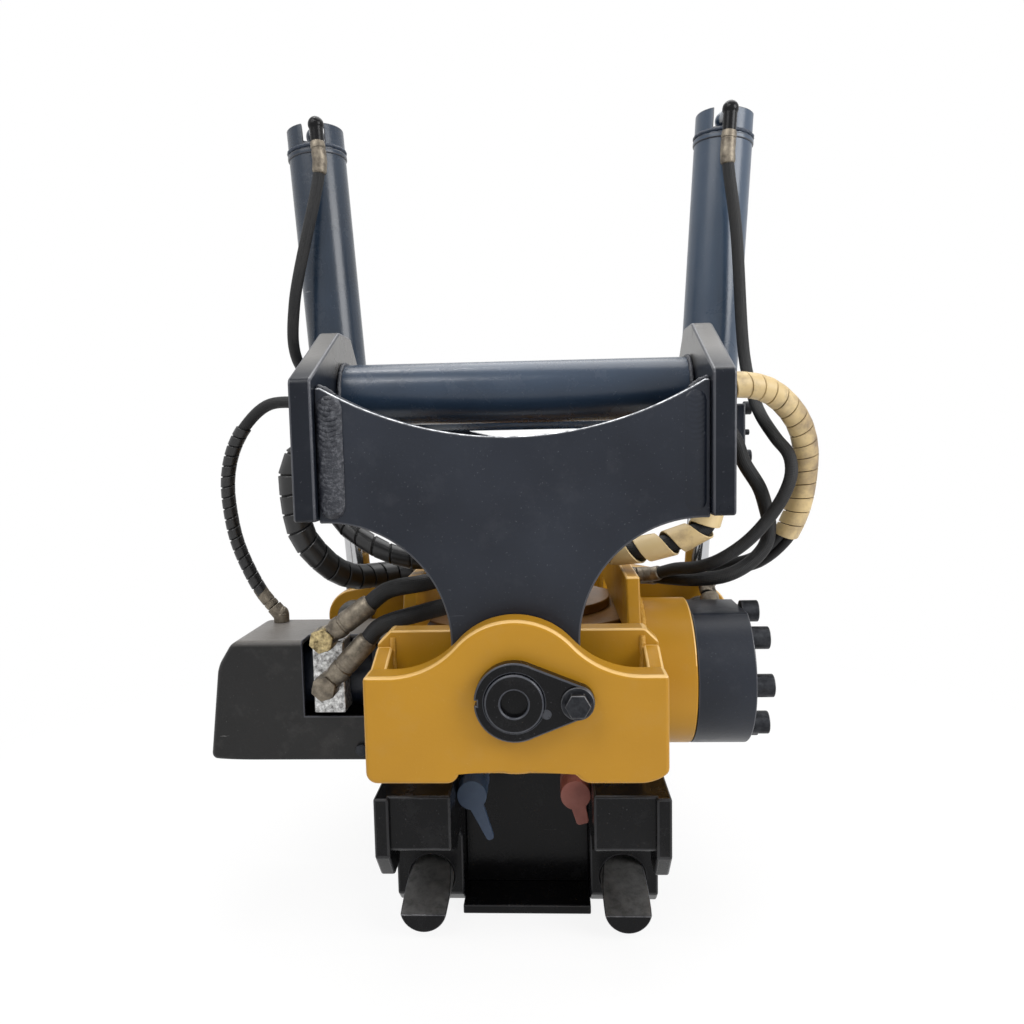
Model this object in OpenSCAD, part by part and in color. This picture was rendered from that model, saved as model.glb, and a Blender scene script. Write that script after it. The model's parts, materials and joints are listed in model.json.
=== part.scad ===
// Tilt rotator for a compact excavator. A locking quick hitch stands at the bottom, a worm
// driven rotor housing turns on it, and a two-bar top hitch tilts over the housing on two pins,
// moved by a pair of trunnion mounted cylinders.
// Millimetres, +Z up, -Y towards the locking wedges, +X towards the worm's end cap.
// The origin is on the rotation axis, in the plane that the quick hitch stands on.

/* [Top hitch] */
// Diameter of the two attachment bars
bar_d = 60; // [50:1:66]
// Distance between the two bars, centre to centre
bar_pitch = 480; // [460:2:500]
// Clear width between the side plates, which is the bars' length
bar_len = 340; // [330:1:350]
// Height of the bars above the tilt axis
bar_rise = 265; // [255:1:275]
// Thickness of the side plates
side_t = 20; // [16:1:24]
// Length of the side plates
side_len = 710; // [696:2:730]
// Depth of the side plates below the bars' axis, at their ends
side_drop = 115; // [105:1:120]
// Height of the side plates' arch below the bars' axis
side_arch = 70; // [66:1:74]
// Thickness of the tilt lug plates
lug_t = 30; // [24:1:36]
// Width of the tilt lug plates at the waist
lug_waist = 114; // [106:1:118]
// Radius of the tilt lug plates' round end
lug_r = 58; // [56:0.5:62]
// Radius of the concave flanks of the tilt lug plates
flank_r = 108; // [100:1:112]
// Depth of the sweep in the top edge of the tilt lug plates
lug_sweep = 45; // [35:1:52]

/* [Tilt pivot] */
// Height of the tilt axis above the ground
tilt_z = 300; // [297:1:312]
// Distance of each lug plate's middle from the rotation axis
lug_y = 330; // [327:1:338]
// Diameter of the tilt pins
pin_d = 50; // [42:1:54]
// Wall of the tilt bushes
bush_wall = 5; // [3:0.5:7]
// Thickness of the lock plates on the pins' ends
lock_t = 12; // [8:1:16]
// Distance of the lock bolt from the pin's axis
lock_reach = 52.5; // [48:0.5:58]
// Diameter of the lock bolts
lock_bolt_d = 12; // [8:1:14]

/* [Housing] */
// Width of the fork plates
fork_w = 260; // [252:2:270]
// Thickness of the fork plates
fork_t = 30; // [24:1:36]
// Radius of the hump over each tilt pin
hump_r = 67; // [62:0.5:72]
// Radius of the blend between hump and shoulder
blend_r = 80; // [70:1:84]
// Height of the fork plates' shoulders above the tilt axis
shoulder = 19; // [15:0.5:23]
// Depth of the fork plates below the tilt axis
fork_drop = 66; // [62:0.5:70]
// Thickness of the cross walls behind the lug plates
wall_t = 25; // [20:1:30]
// Thickness of the side rails and gussets
rail_t = 15; // [12:1:17]
// Height of the side rails' middle above the tilt axis
rail_rise = 70; // [64:1:74]
// Outer radius of the gear case
case_r = 150; // [147:1:153]

/* [Worm drive] */
// Teeth on the worm wheel
wheel_teeth = 40; // [36:1:40]
// Module of the teeth
tooth_m = 5.75; // [5.5:0.05:5.75]
// Pitch radius of the worm
worm_r = 30; // [29:0.5:31]
// Height of the worm's axis above the ground
worm_z = 258; // [257:0.5:259]
// Outer radius of the worm housing's drum and end cap
drum_r = 80; // [76:1:80]
// Length of the end cap
cap_len = 60; // [50:1:66]
// Diameter of the housing bolts
bolt_d = 16; // [12:1:18]
// Bolts in the end cap
cap_bolts = 8; // [5:1:9]
// Radius of the drive motor
motor_r = 38; // [34:1:40]
// Length of the drive motor
motor_len = 140; // [125:1:155]
// Sheet thickness of the motor guard
guard_t = 5; // [3:0.5:7]

/* [Tilt cylinders] */
// Distance of the trunnions from the tilt axis, across
trun_x = 231; // [229:0.5:234]
// Height of the trunnions above the tilt axis
trun_rise = 222; // [218:0.5:226]
// Distance of the rod eyes from the tilt axis, across
eye_x = 217; // [214:0.5:219]
// Outer diameter of the barrels
barrel_d = 70; // [66:1:72]
// Bore of the barrels
bore_d = 60; // [54:1:61]
// Diameter of the piston rods
rod_d = 30; // [24:1:34]
// Length of the barrel above the trunnion, with its collar
barrel_up = 388; // [372:2:404]
// Length of the barrel below the trunnion
barrel_down = 58; // [50:1:62]
// Diameter of the trunnion stubs
trun_d = 36; // [28:1:42]
// Diameter of the rod eye pins
eye_pin_d = 30; // [24:1:34]
// Width of the rod eyes
eye_w = 40; // [34:1:44]
// Thickness of the ears beside each rod eye
ear_t = 22; // [18:1:26]

/* [Quick hitch] */
// Width over the cheeks
hitch_w = 290; // [284:1:300]
// Diameter of the tool pins that the jaws take
tool_pin_d = 60; // [54:1:62]
// Distance between the two tool pins
jaw_pitch = 430; // [420:2:440]
// Height of the tool pins' axes above the ground
jaw_z = 70; // [68:0.5:74]
// Height of the cheeks
cheek_h = 172; // [166:1:173]
// Diameter of the locking wedges
wedge_d = 49; // [42:1:49]
// Distance of each wedge from the middle
wedge_x = 106; // [105:0.5:108]
// Slope of the wedges' flats, in degrees
wedge_a = 15.4; // [13:0.1:17]
// Travel of the locking wedges
lock_travel = 65; // [50:1:66]
// Diameter of the lock cylinder
lock_d = 64; // [54:1:70]
// Radius of the round flange under the housing
flange_r = 145; // [135:1:145]

/* [Fits] */
// Radial clearance of pins and shafts in their bores
fit = 0.05; // [0.02:0.01:0.1]
// Radial room of a tool pin in its jaw
jaw_room = 0.15; // [0.05:0.05:0.2]
// Side gap between plates that move past each other
side_gap = 2; // [1:0.25:3]

/* [Hidden] */
$fn = 96;
eps = 0.01;

// Top hitch
side_in = bar_len / 2;
side_out = side_in + side_t;
bar_y = bar_pitch / 2;
bar_z = tilt_z + bar_rise;
side_end = side_len / 2;
lug_y0 = lug_y - lug_t / 2;
lug_y1 = lug_y + lug_t / 2;
lug_top = bar_z + 1;
sweep_x = side_in - 5;
sweep_r = (sweep_x * sweep_x + lug_sweep * lug_sweep) / (2 * lug_sweep);
flank_x = lug_waist / 2 + flank_r;
flank_z = tilt_z + 40;
bush_r = pin_d / 2 + bush_wall;

// Housing
wall_y1 = lug_y0 - side_gap;
wall_y0 = wall_y1 - wall_t;
fork_y0 = lug_y1 + side_gap;
fork_y1 = fork_y0 + fork_t;
fork_bot = tilt_z - fork_drop;
wall_top = tilt_z + 44;
rail_x1 = fork_w / 2 - 3;
rail_x0 = rail_x1 - rail_t;
foot_x = 50;
foot_h = 9;
blend_x = sqrt(pow(hump_r + blend_r, 2) - pow(shoulder + blend_r, 2));
blend_k = hump_r / (hump_r + blend_r);
lock_r = pin_d / 2 + 9;
lock_end_r = lock_bolt_d / 2 + 8.5;

// Worm drive
wheel_r = tooth_m * wheel_teeth / 2;
worm_y = -(wheel_r + worm_r);
tooth_add = 0.8 * tooth_m;
tooth_clear = 1.4;
seam = 0.3;
wheel_tip = wheel_r + tooth_add;
worm_tip = worm_r + tooth_add;
wheel_root = wheel_r - tooth_add - tooth_clear;
worm_root = worm_r - tooth_add - tooth_clear;
wheel_w = 32;
worm_lead = PI * tooth_m;
worm_turns = 3;
worm_bore = worm_tip + 3.5;
tube_r = worm_bore + 10;
case_bot = worm_z - tube_r;
hub_r = 85;
hub_bush = 7;
cavity_z0 = worm_z - 22;
cavity_z1 = worm_z + 22;
cavity_r = wheel_tip + 4.5;
cover_top = cavity_z1 + 25;
drum_x = rail_x1 + 55;
cap_x = drum_x + cap_len;
bolt_r = drum_r - bolt_d * 0.94;
motor_x = -rail_x1 - 23;
motor_flange_r = 60;
motor_flange_t = 20;
guard_top = worm_z + motor_r + guard_t + 6;
guard_bot = worm_z - 83;
guard_x = motor_x - motor_len - 54.5;
guard_lean = 12.5;
guard_cut_w = 17.5;
guard_cut_h = 28;
guard_side_gap = 13;
guard_low_gap = 34;
guard_top_gap = 36;
guard_y0 = worm_y - motor_r - guard_t - 12;
guard_y1 = worm_y + motor_r + 15;
shaft_r = 15;
hub_bore_r = 40;
port_x = motor_x - 57;
port_half = 17;
loop_run = 8.8;
loop_rise = 8;
port_face = worm_y - motor_r - 24;
swivel_r = 55;
swivel_rim = 16;
swivel_foot = 12;
swivel_step = 15;
swivel_cap = 8;
swivel_top = cover_top + 100;

// Tilt cylinders, drawn with the trunnion axis at the origin and the barrel along +Z
trun_z = tilt_z + trun_rise;
cyl_len = norm([trun_x - eye_x, trun_rise]);
lean = atan2(trun_x - eye_x, trun_rise);
barrel_r = barrel_d / 2;
bore_r = bore_d / 2;
collar_h = 33;
gland_h = 60;
piston_z = 130;
piston_h = 40;
eye_r = eye_pin_d / 2 + 15;
neck_r = eye_w / 2 - 1;
ear_r = eye_pin_d / 2 + 19;
ear_y0 = eye_w / 2 + side_gap;
ear_y1 = ear_y0 + ear_t;
block_y0 = barrel_r + 5;
block_w = 26;
block_y1 = block_y0 + block_w;
block_x1 = trun_x + trun_d / 2 + 18;
block_h = 76;
cap_bolt_z = trun_d / 2 + 11;

// Quick hitch
cheek_x1 = hitch_w / 2;
cheek_x0 = cheek_x1 - 15;
block_x0 = 70;
jaw_y = jaw_pitch / 2;
jaw_r = tool_pin_d / 2 + jaw_room;
cheek_end = jaw_y + 75;
flange_bot = cheek_h;
flange_top = case_bot - 4;
floor_t = 10;
wedge_z = floor_t + wedge_d / 2;
wedge_tip = -jaw_y - 35;
yoke_y = 32;
yoke_t = 28;
lock_z = 62;
wall_in = 130;
lock_bore_r = lock_d / 2 - 10;
lock_rod_r = 12;
coupler_x = 54;
coupler_z = cheek_h - 22;
coupler_r = 11;
coupler_y0 = -wall_in - 20;
coupler_y1 = -226;

// Colours
yellow = [0.78, 0.57, 0.16];
black = [0.10, 0.11, 0.13];
steel = [0.62, 0.62, 0.63];
chrome = [0.82, 0.83, 0.85];
bronze = [0.66, 0.49, 0.25];
rubber = [0.07, 0.07, 0.08];
wrap = [0.85, 0.73, 0.50];

// Hose routes, from the fitting at the first point to the fitting at the last
route_cylinder_left = [[-238, -52, 872], [-236.7, -52, 852], [-277, -46, 690], [-285, -25, 632],
    [-277, 32, 598], [-246, 92, 566], [-224, 105, 560], [-206, 105, 560]];
route_cylinder_right = [[249, -52, 866], [247.7, -52, 846], [258, -52, 761], [267, -58, 610],
    [272, -82, 562], [276, -100, 540], [288, -118, 514], [297, -136, 496], [297, -146, 476],
    [289, -150, 454], [272, -150, 427], [247, -152, 401], [217, -150, 381], [196, -138, 372],
    [175, -122, 368], [150, -100, 358], [132, -100, 358]];
route_loop_left = [[-206, -165, 563], [-226, -165, 563], [-278, -150, 563], [-309, -140, 541],
    [-329, -132, 512], [-339, -126, 477], [-340, -119, 437], [-336, -112, 402], [-323, -107, 364],
    [-311.1, -104, 339.9], [-299.8, -104, 325.9]];
route_bundle_left = [[-206, -190, 514], [-226, -190, 514], [-242, -187, 490], [-245, -180, 464],
    [-242, -165, 418], [-227, -150, 390], [-214, -130, 372], [-199, -106, 361], [-180, -78, 358],
    [-154, -62, 358], [-132, -62, 358]];
route_tilt_left = [[-213, -150, 496], [-213, -150, 470], [-207, -146, 438], [-196, -145, 423],
    [-178, -150, 411], [-158, -152, 399], [-139, -150, 391], [-118, -142, 385], [-92, -112, 385],
    [-71, -71, 388], [-53, -53, 388]];
route_motor_upper = [[-158, -219, 350], [-138, -219, 364.7], [-100, -218, 372], [-70, -185, 374],
    [-50, -142, 364], [-34, -104.6, 352], [-23.2, -71.3, 352]];
route_motor_lower = [[-160, -225, 313], [-146, -225, 328], [-100, -222, 342], [-60, -195, 347],
    [-24, -152, 347], [0, -110, 352], [0, -75, 352]];
route_bundle_right = [[206, -165, 572], [230, -165, 572], [251, -158, 571], [273, -148, 565],
    [294, -138, 550], [311, -128, 529], [320, -120, 503], [321, -115, 475], [317, -112, 443],
    [310, -108, 419], [300, -102, 398], [276, -86, 372], [240, -62, 356], [222, -60, 343],
    [222, -75.7, 327.3]];
route_inner_right = [[206, -135, 536], [220, -135, 536], [238, -135, 515], [249, -132, 488],
    [268, -125, 459], [276, -120, 438], [281, -118, 415], [277, -118, 393], [258, -122, 373],
    [231, -126, 360], [200, -120, 355], [170, -98, 353], [148, -72, 352], [132, -72, 352]];
route_tilt_right = [[213, -150, 496], [213, -150, 472], [211, -154, 442], [198, -160, 418],
    [173, -160, 406], [146, -158, 398], [115, -148, 392], [92, -116, 389], [74, -74, 388],
    [53, -53, 388]];
r_cylinder = 7;
r_loop = 8;
r_bundle_left = 15;
r_tilt_left = 11;
r_tilt_right = 15;
r_motor = 9;
r_bundle_right = 14;
r_inner = 8;

// Shapes

// Outline in X and Z, drawn from y0 to y1
module plate_y(y0, y1) { translate([0, y1, 0]) rotate([90, 0, 0]) linear_extrude(y1 - y0) children(); }

// Outline in Y and Z, drawn from x0 to x1
module plate_x(x0, x1) { translate([x0, 0, 0]) rotate([90, 0, 90]) linear_extrude(x1 - x0) children(); }

module round_y(r, y0, y1) { translate([0, y0, 0]) rotate([-90, 0, 0]) cylinder(r = r, h = y1 - y0); }

module round_x(r, x0, x1) { translate([x0, 0, 0]) rotate([0, 90, 0]) cylinder(r = r, h = x1 - x0); }

module round_z(r, z0, z1) { translate([0, 0, z0]) cylinder(r = r, h = z1 - z0); }

module rod_between(p, q, r) {
    d = q - p;
    translate(p) rotate([0, acos(d[2] / norm(d)), atan2(d[1], d[0])]) cylinder(r = r, h = norm(d));
}

// Ferrule from p to just short of a hose end at q
module ferrule(p, q, r) { rod_between(p, q - seam * (q - p) / norm(q - p), r); }

function last(p) = p[len(p) - 1];

module front_and_rear() { children(); mirror([0, 1, 0]) children(); }

module both_sides() { children(); mirror([1, 0, 0]) children(); }

module at_worm() { translate([0, worm_y, worm_z]) children(); }

// The right cylinder's place; the left one is its mirror image
module at_trunnion() { translate([trun_x, 0, trun_z]) rotate([0, lean, 0]) children(); }

module span_box(a, b) { translate(a) cube(b - a); }

// Point where a line from p touches a circle of radius r about c, on the side s
function touch(p, c, r, s) =
    let (d = c - p, l = norm(d), a = atan2(d[1], d[0]) + s * asin(r / l))
    p + sqrt(l * l - r * r) * [cos(a), sin(a)];

// Direction of a route at each point, and a frame that follows it without twisting
function heading(p, i) =
    let (d = p[min(i + 1, len(p) - 1)] - p[max(i - 1, 0)]) d / norm(d);
function side_of(t, up) = let (u = cross(t, up)) u / norm(u);
function turned(u, t) = let (v = u - (u * t) * t) v / norm(v);
function frames(p, i, u) =
    i == len(p) ? [] :
    let (v = turned(u, heading(p, i))) concat([v], frames(p, i + 1, v));

// Round tube along a route, with flat ends
module hose(p, r, sides = 10) {
    n = len(p);
    u = frames(p, 0, side_of(heading(p, 0), [0.31, 0.9, 0.3]));
    rings = [for (i = [0 : n - 1])
        let (t = heading(p, i), w = cross(t, u[i]))
        for (k = [0 : sides - 1])
            let (a = 360 * k / sides) p[i] + r * (cos(a) * u[i] + sin(a) * w)];
    walls = [for (i = [0 : n - 2], k = [0 : sides - 1])
        let (a = i * sides + k, b = i * sides + (k + 1) % sides)
        for (f = [[a, a + sides, b], [b, a + sides, b + sides]]) f];
    start = [[for (k = [0 : sides - 1]) k]];
    finish = [[for (k = [sides - 1 : -1 : 0]) (n - 1) * sides + k]];
    polyhedron(points = rings, faces = concat(walls, start, finish));
}

// Quick hitch

module hitch_flange() {
    color(black) difference() {
        round_z(flange_r, flange_bot, flange_top);
        round_z(hub_bore_r, flange_bot - 1, flange_top + 1);
    }
}

// Cheek in Y and Z: a downward jaw at the front and a hook open to the rear
module cheek_outline() {
    difference() {
        polygon([[-cheek_end, cheek_h], [-cheek_end, jaw_z + 42], [-cheek_end + 24, jaw_z + 12],
            [-jaw_y + jaw_r, jaw_z + 12], [-jaw_y + jaw_r, 14], [-jaw_y + jaw_r + 14, 0],
            [jaw_y + 35, 0], [jaw_y + 47, 12], [jaw_y + 47, jaw_z - jaw_r], [jaw_y, jaw_z - jaw_r],
            [jaw_y, jaw_z + jaw_r], [jaw_y + 47, jaw_z + jaw_r], [cheek_end, jaw_z + 48],
            [cheek_end, cheek_h]]);
        translate([-jaw_y, jaw_z]) circle(r = jaw_r);
        translate([jaw_y, jaw_z]) circle(r = jaw_r);
    }
}

module cheek() {
    difference() {
        union() {
            plate_x(cheek_x0, cheek_x1) cheek_outline();
            plate_x(block_x0, cheek_x0 + eps) difference() {
                intersection() {
                    cheek_outline();
                    union() {
                        translate([-cheek_end + 6, 0]) square([cheek_end - 66, cheek_h]);
                        translate([wall_in, 0]) square([cheek_end - wall_in - 6, cheek_h]);
                    }
                }
                polygon([[-cheek_end, jaw_z], [-cheek_end, jaw_z + 50], [-jaw_y - 20, jaw_z + 22],
                    [-jaw_y, jaw_z + 22], [-jaw_y, jaw_z]]);
            }
        }
        translate([wedge_x, 0, wedge_z]) round_y(wedge_d / 2 + fit, -cheek_end, yoke_y + lock_travel + 2);
    }
}

module cheek_right() { color(black) cheek(); }

module cheek_left() { color(black) mirror([1, 0, 0]) cheek(); }

module hitch_floor() {
    color(black) span_box([-block_x0, -jaw_y + 15, 0], [block_x0, jaw_y - 15, floor_t]);
}

module hitch_walls() {
    color(black) {
        difference() {
            span_box([-block_x0, -wall_in - 20, floor_t], [block_x0, -wall_in, cheek_h]);
            both_sides() translate([coupler_x, 0, coupler_z])
                round_y(coupler_r - 3, -wall_in - 21, -wall_in + 1);
        }
        span_box([-block_x0, wall_in + 10, floor_t], [block_x0, wall_in + 30, cheek_h]);
    }
}

module lock_barrel() {
    color(black) translate([0, 0, lock_z]) difference() {
        union() {
            round_y(lock_d / 2, -wall_in, 20);
            round_y(lock_d / 2 + 3, -12, 12);
        }
        round_y(lock_bore_r, -wall_in + 18, 0);
        round_y(lock_rod_r + fit, -1, 21);
    }
}

module couplers() {
    color(steel) both_sides() translate([coupler_x, 0, coupler_z]) {
        round_y(coupler_r, coupler_y1, coupler_y0);
        translate([0, coupler_y0 - 26, 0]) rotate([-90, 0, 0]) cylinder(r = 15, h = 14, $fn = 6);
        round_y(14, coupler_y0 - 6, coupler_y0);
    }
}

// Worm wheel with its hub, fixed to the quick hitch
module wheel_outline() {
    half = 180 / wheel_teeth;
    circle(r = wheel_root);
    for (i = [0 : wheel_teeth - 1])
        rotate((i + 0.5) * 2 * half - 90) polygon([[wheel_root - 2, -4.3], [wheel_r, -3.2],
            [wheel_tip, -1.9], [wheel_tip, 1.9], [wheel_r, 3.2], [wheel_root - 2, 4.3]]);
}

module worm_wheel() {
    color(steel) difference() {
        union() {
            round_z(hub_r, flange_top, cover_top - 3);
            translate([0, 0, worm_z - wheel_w / 2]) linear_extrude(wheel_w) wheel_outline();
        }
        round_z(hub_bore_r, flange_top - 1, cover_top);
    }
}

// Lock slide

module lock_yoke() {
    color(steel) difference() {
        span_box([-cheek_x0 + 2, yoke_y, floor_t + 8], [cheek_x0 - 2, yoke_y + yoke_t, lock_z + 26]);
        both_sides() span_box([40, yoke_y - 1, wedge_z + wedge_d / 2 + 4],
            [cheek_x0, yoke_y + yoke_t + 1, lock_z + 27]);
    }
}

// Round bars with a sloping flat that bears on the tool pin
module lock_wedges() {
    flat_z = jaw_z - tool_pin_d / 2 / cos(wedge_a) - jaw_room;
    rise = tan(wedge_a);
    color(steel) both_sides() difference() {
        translate([wedge_x, 0, wedge_z]) round_y(wedge_d / 2, wedge_tip, yoke_y);
        plate_x(wedge_x - wedge_d, wedge_x + wedge_d)
            polygon([[wedge_tip - 5, flat_z - 40 * rise], [-jaw_y + 110, flat_z + 110 * rise],
                [wedge_tip - 5, flat_z + 110 * rise]]);
    }
}

module lock_rod() {
    color(chrome) translate([0, 0, lock_z]) {
        round_y(lock_rod_r, -72, yoke_y);
        round_y(lock_bore_r - fit, -lock_travel - 30, -lock_travel - 6);
    }
}

// Dust caps

// Cup with a strap along its top, a ring behind and a pull tab below
module dust_cap(tab, half) {
    wall = 4;
    in_r = coupler_r + 0.6;
    end = in_r + tab;
    difference() {
        round_y(in_r + wall, coupler_y1 - 8, coupler_y1 + 18);
        round_y(in_r, coupler_y1 - 1, coupler_y1 + 19);
    }
    difference() {
        round_y(in_r + wall, coupler_y1 + 32, coupler_y1 + 36);
        round_y(in_r, coupler_y1 + 31, coupler_y1 + 37);
    }
    span_box([-5, coupler_y1 - 8, in_r + 1], [5, coupler_y1 + 36, in_r + wall - 0.4]);
    plate_y(coupler_y1 - 8, coupler_y1 - 3)
        polygon([[-8, -8], [8, -8], [half, 2 - end], [half - 2, -end], [2 - half, -end], [-half, 2 - end]]);
}

module red_cap() {
    color([0.63, 0.24, 0.20]) translate([coupler_x, 0, coupler_z]) rotate([0, -14, 0]) dust_cap(20, 6.5);
}

module blue_cap() {
    color([0.15, 0.22, 0.36]) translate([-coupler_x, 0, coupler_z]) rotate([0, -22, 0]) dust_cap(40, 4);
}

// Rotor housing

// Casting that holds the worm wheel and the worm, with the drum for the end cap
module gear_case() {
    color(yellow) difference() {
        union() {
            round_z(case_r, case_bot, cavity_z1);
            at_worm() {
                round_x(tube_r, motor_x + 10, drum_x);
                round_x(drum_r, rail_x1, drum_x);
                round_x(motor_flange_r, motor_x, motor_x + motor_flange_t);
            }
        }
        round_z(cavity_r, cavity_z0, cavity_z1 + 1);
        round_z(hub_r + hub_bush, case_bot - 1, cavity_z0 + 1);
        at_worm() round_x(worm_bore, motor_x - 1, drum_x + 1);
    }
}

module case_cover() {
    color(yellow) difference() {
        round_z(case_r, cavity_z1, cover_top);
        round_z(hub_r + hub_bush, cavity_z1 - 1, cover_top + 1);
        at_worm() {
            round_x(tube_r + seam, motor_x - 1, drum_x + 1);
            round_x(drum_r + seam, rail_x1 - seam, drum_x + 1);
            round_x(motor_flange_r + seam, motor_x - 1, motor_x + motor_flange_t + seam);
        }
        span_box([-case_r, -2 * case_r, cavity_z1 - 1], [case_r, worm_y, cover_top + 1]);
    }
}

module socket_bolt() {
    difference() {
        cylinder(r = bolt_d * 0.75, h = bolt_d * 1.2);
        translate([0, 0, bolt_d * 0.5]) cylinder(r = bolt_d * 0.45, h = bolt_d, $fn = 6);
    }
}

module housing_bolts() {
    color(black) {
        at_worm() for (i = [0 : cap_bolts - 1])
            rotate([i * 360 / cap_bolts, 0, 0]) translate([cap_x, 0, bolt_r])
                rotate([0, 90, 0]) socket_bolt();
        for (a = [55 : 35 : 125])
            rotate(a) translate([case_r - bolt_d, 0, cover_top]) socket_bolt();
    }
}

module slew_bushes() {
    color(bronze) for (z = [[case_bot, cavity_z0], [cavity_z1, cover_top]]) difference() {
        round_z(hub_r + hub_bush, z[0], z[1]);
        round_z(hub_r + fit, z[0] - 1, z[1] + 1);
    }
}

// Fork plate in X and Z, with a hump over the pin and smooth shoulders
module fork_outline() {
    half = fork_w / 2;
    difference() {
        union() {
            translate([-half, fork_bot]) square([fork_w, fork_drop + shoulder]);
            translate([0, tilt_z]) circle(r = hump_r);
            difference() {
                polygon([[-blend_x, tilt_z + shoulder], [blend_x, tilt_z + shoulder],
                    [blend_x * blend_k, tilt_z + (shoulder + blend_r) * blend_k],
                    [-blend_x * blend_k, tilt_z + (shoulder + blend_r) * blend_k]]);
                for (s = [-1, 1])
                    translate([s * blend_x, tilt_z + shoulder + blend_r]) circle(r = blend_r);
            }
            translate([-half, fork_bot - foot_h]) square([half - foot_x, foot_h + eps]);
            polygon([[foot_x, fork_bot + eps], [foot_x + 4, fork_bot - foot_h],
                [half - 14, fork_bot - foot_h], [half, fork_bot + eps]]);
        }
        translate([0, tilt_z]) circle(r = pin_d / 2 + fit);
        translate([lock_reach, tilt_z]) circle(r = lock_bolt_d / 2 + fit);
    }
}

module fork_plate_front() { color(yellow) plate_y(-fork_y1, -fork_y0) fork_outline(); }

module fork_plate_rear() { color(yellow) plate_y(fork_y0, fork_y1) fork_outline(); }

module cross_walls() {
    half = fork_w / 2;
    color(yellow) front_and_rear() plate_y(-wall_y1, -wall_y0) difference() {
        polygon([[-half, fork_bot], [half, fork_bot], [half, wall_top - 12], [half - 12, wall_top],
            [-half + 12, wall_top], [-half, wall_top - 12]]);
        translate([0, tilt_z]) circle(r = pin_d / 2 + fit);
    }
}

module fork_gussets() {
    half = fork_w / 2;
    color(yellow) both_sides() front_and_rear() plate_x(half - rail_t, half)
        polygon([[-fork_y0, fork_bot], [-fork_y0, tilt_z + shoulder - 3], [-wall_y1, wall_top - 14],
            [-wall_y1, fork_bot]]);
}

module side_rails() {
    low = cover_top + 11;
    high = tilt_z + rail_rise;
    web = 200;
    top = web - 15;
    color(yellow) both_sides() plate_x(rail_x0, rail_x1) difference() {
        polygon([[-wall_y0, fork_bot], [-wall_y0, low], [-web - 2, low], [-top, high], [top, high],
            [web + 2, low], [wall_y0, low], [wall_y0, fork_bot], [web, fork_bot], [web, cover_top],
            [-web, cover_top], [-web, fork_bot]]);
        translate([worm_y, worm_z]) circle(r = tube_r + seam);
    }
}

// Ear in X and Z, from the rail to the rod eye's pin
module ear_outline() {
    c = [eye_x, tilt_z];
    top = [rail_x1, tilt_z + rail_rise - 18];
    low = [case_r + 2, cover_top];
    difference() {
        union() {
            polygon([[rail_x1, cover_top], top, touch(top, c, ear_r, 1), c, touch(low, c, ear_r, -1), low]);
            translate(c) circle(r = ear_r);
        }
        translate(c) circle(r = eye_pin_d / 2 + fit);
    }
}

module cylinder_ears() {
    color(yellow) both_sides() front_and_rear() plate_y(ear_y0, ear_y1) ear_outline();
}

// Eye pins, one headed half in each ear
module ear_pins() {
    color(steel) both_sides() front_and_rear() translate([eye_x, 0, tilt_z]) {
        round_y(eye_pin_d / 2, ear_y0, ear_y1 + eps);
        round_y(eye_pin_d / 2 + 6, ear_y1, ear_y1 + 6);
    }
}

module tilt_pins() {
    color(black) front_and_rear() translate([0, 0, tilt_z]) difference() {
        round_y(pin_d / 2, -fork_y1 - lock_t - 3, -wall_y0);
        round_y(pin_d * 0.23, -fork_y1 - lock_t - 4, -fork_y1 - lock_t + 3);
    }
}

// Teardrop plate in X and Z about the pin's axis
module lock_outline() {
    a = acos((lock_r - lock_end_r) / lock_reach);
    big = lock_r - 0.2;
    small = lock_end_r - 0.2;
    difference() {
        union() {
            circle(r = lock_r);
            translate([lock_reach, 0]) circle(r = lock_end_r);
            polygon([big * [cos(a), sin(a)], [lock_reach, 0] + small * [cos(a), sin(a)],
                [lock_reach, 0] + small * [cos(a), -sin(a)], big * [cos(a), -sin(a)]]);
        }
        circle(r = pin_d / 2 + fit);
        translate([lock_reach, 0]) circle(r = lock_bolt_d / 2 + fit);
        translate([-lock_r, 0]) square([5, 4], center = true);
    }
}

module lock_plates() {
    color(black) front_and_rear() translate([0, 0, tilt_z])
        plate_y(-fork_y1 - lock_t, -fork_y1) lock_outline();
}

module lock_bolts() {
    y = -fork_y1 - lock_t;
    color(black) front_and_rear() translate([lock_reach, 0, tilt_z]) {
        round_y(lock_bolt_d * 1.17, y - 3, y);
        round_y(lock_bolt_d / 2, y - 1, -fork_y0);
        translate([0, y - 3, 0]) rotate([90, 0, 0])
            cylinder(d = lock_bolt_d * 1.83, h = lock_bolt_d * 0.65, $fn = 6);
    }
}

// Worm bearing cap with a machined flat on top
module end_cap() {
    color(black) at_worm() difference() {
        round_x(drum_r, drum_x, cap_x);
        span_box([drum_x - 1, -drum_r, drum_r - 9], [cap_x + 1, drum_r, drum_r + 1]);
        round_x(26, drum_x - 1, drum_x + 20);
    }
}

module worm_bearings() {
    color(steel) at_worm() for (x = [motor_x + 2, drum_x - 22]) difference() {
        round_x(worm_bore, x, x + 18);
        round_x(shaft_r + fit, x - 1, x + 19);
    }
}

module drive_motor() {
    color(black) at_worm() {
        round_x(motor_r, motor_x - motor_len, motor_x - 14);
        translate([motor_x - 15, 0, 0]) rotate([0, 90, 0])
            linear_extrude(15) square(motor_r * 2, center = true);
        round_x(motor_r - 14, motor_x - motor_len - 12, motor_x - motor_len + 1);
    }
}

module port_block() {
    color([0.7, 0.7, 0.7]) difference() {
        span_box([port_x - port_half, port_face, worm_z - 28],
            [port_x + port_half, port_face + 32, worm_z + 51]);
        at_worm() round_x(motor_r + 0.3, motor_x - motor_len, motor_x);
    }
}

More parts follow.
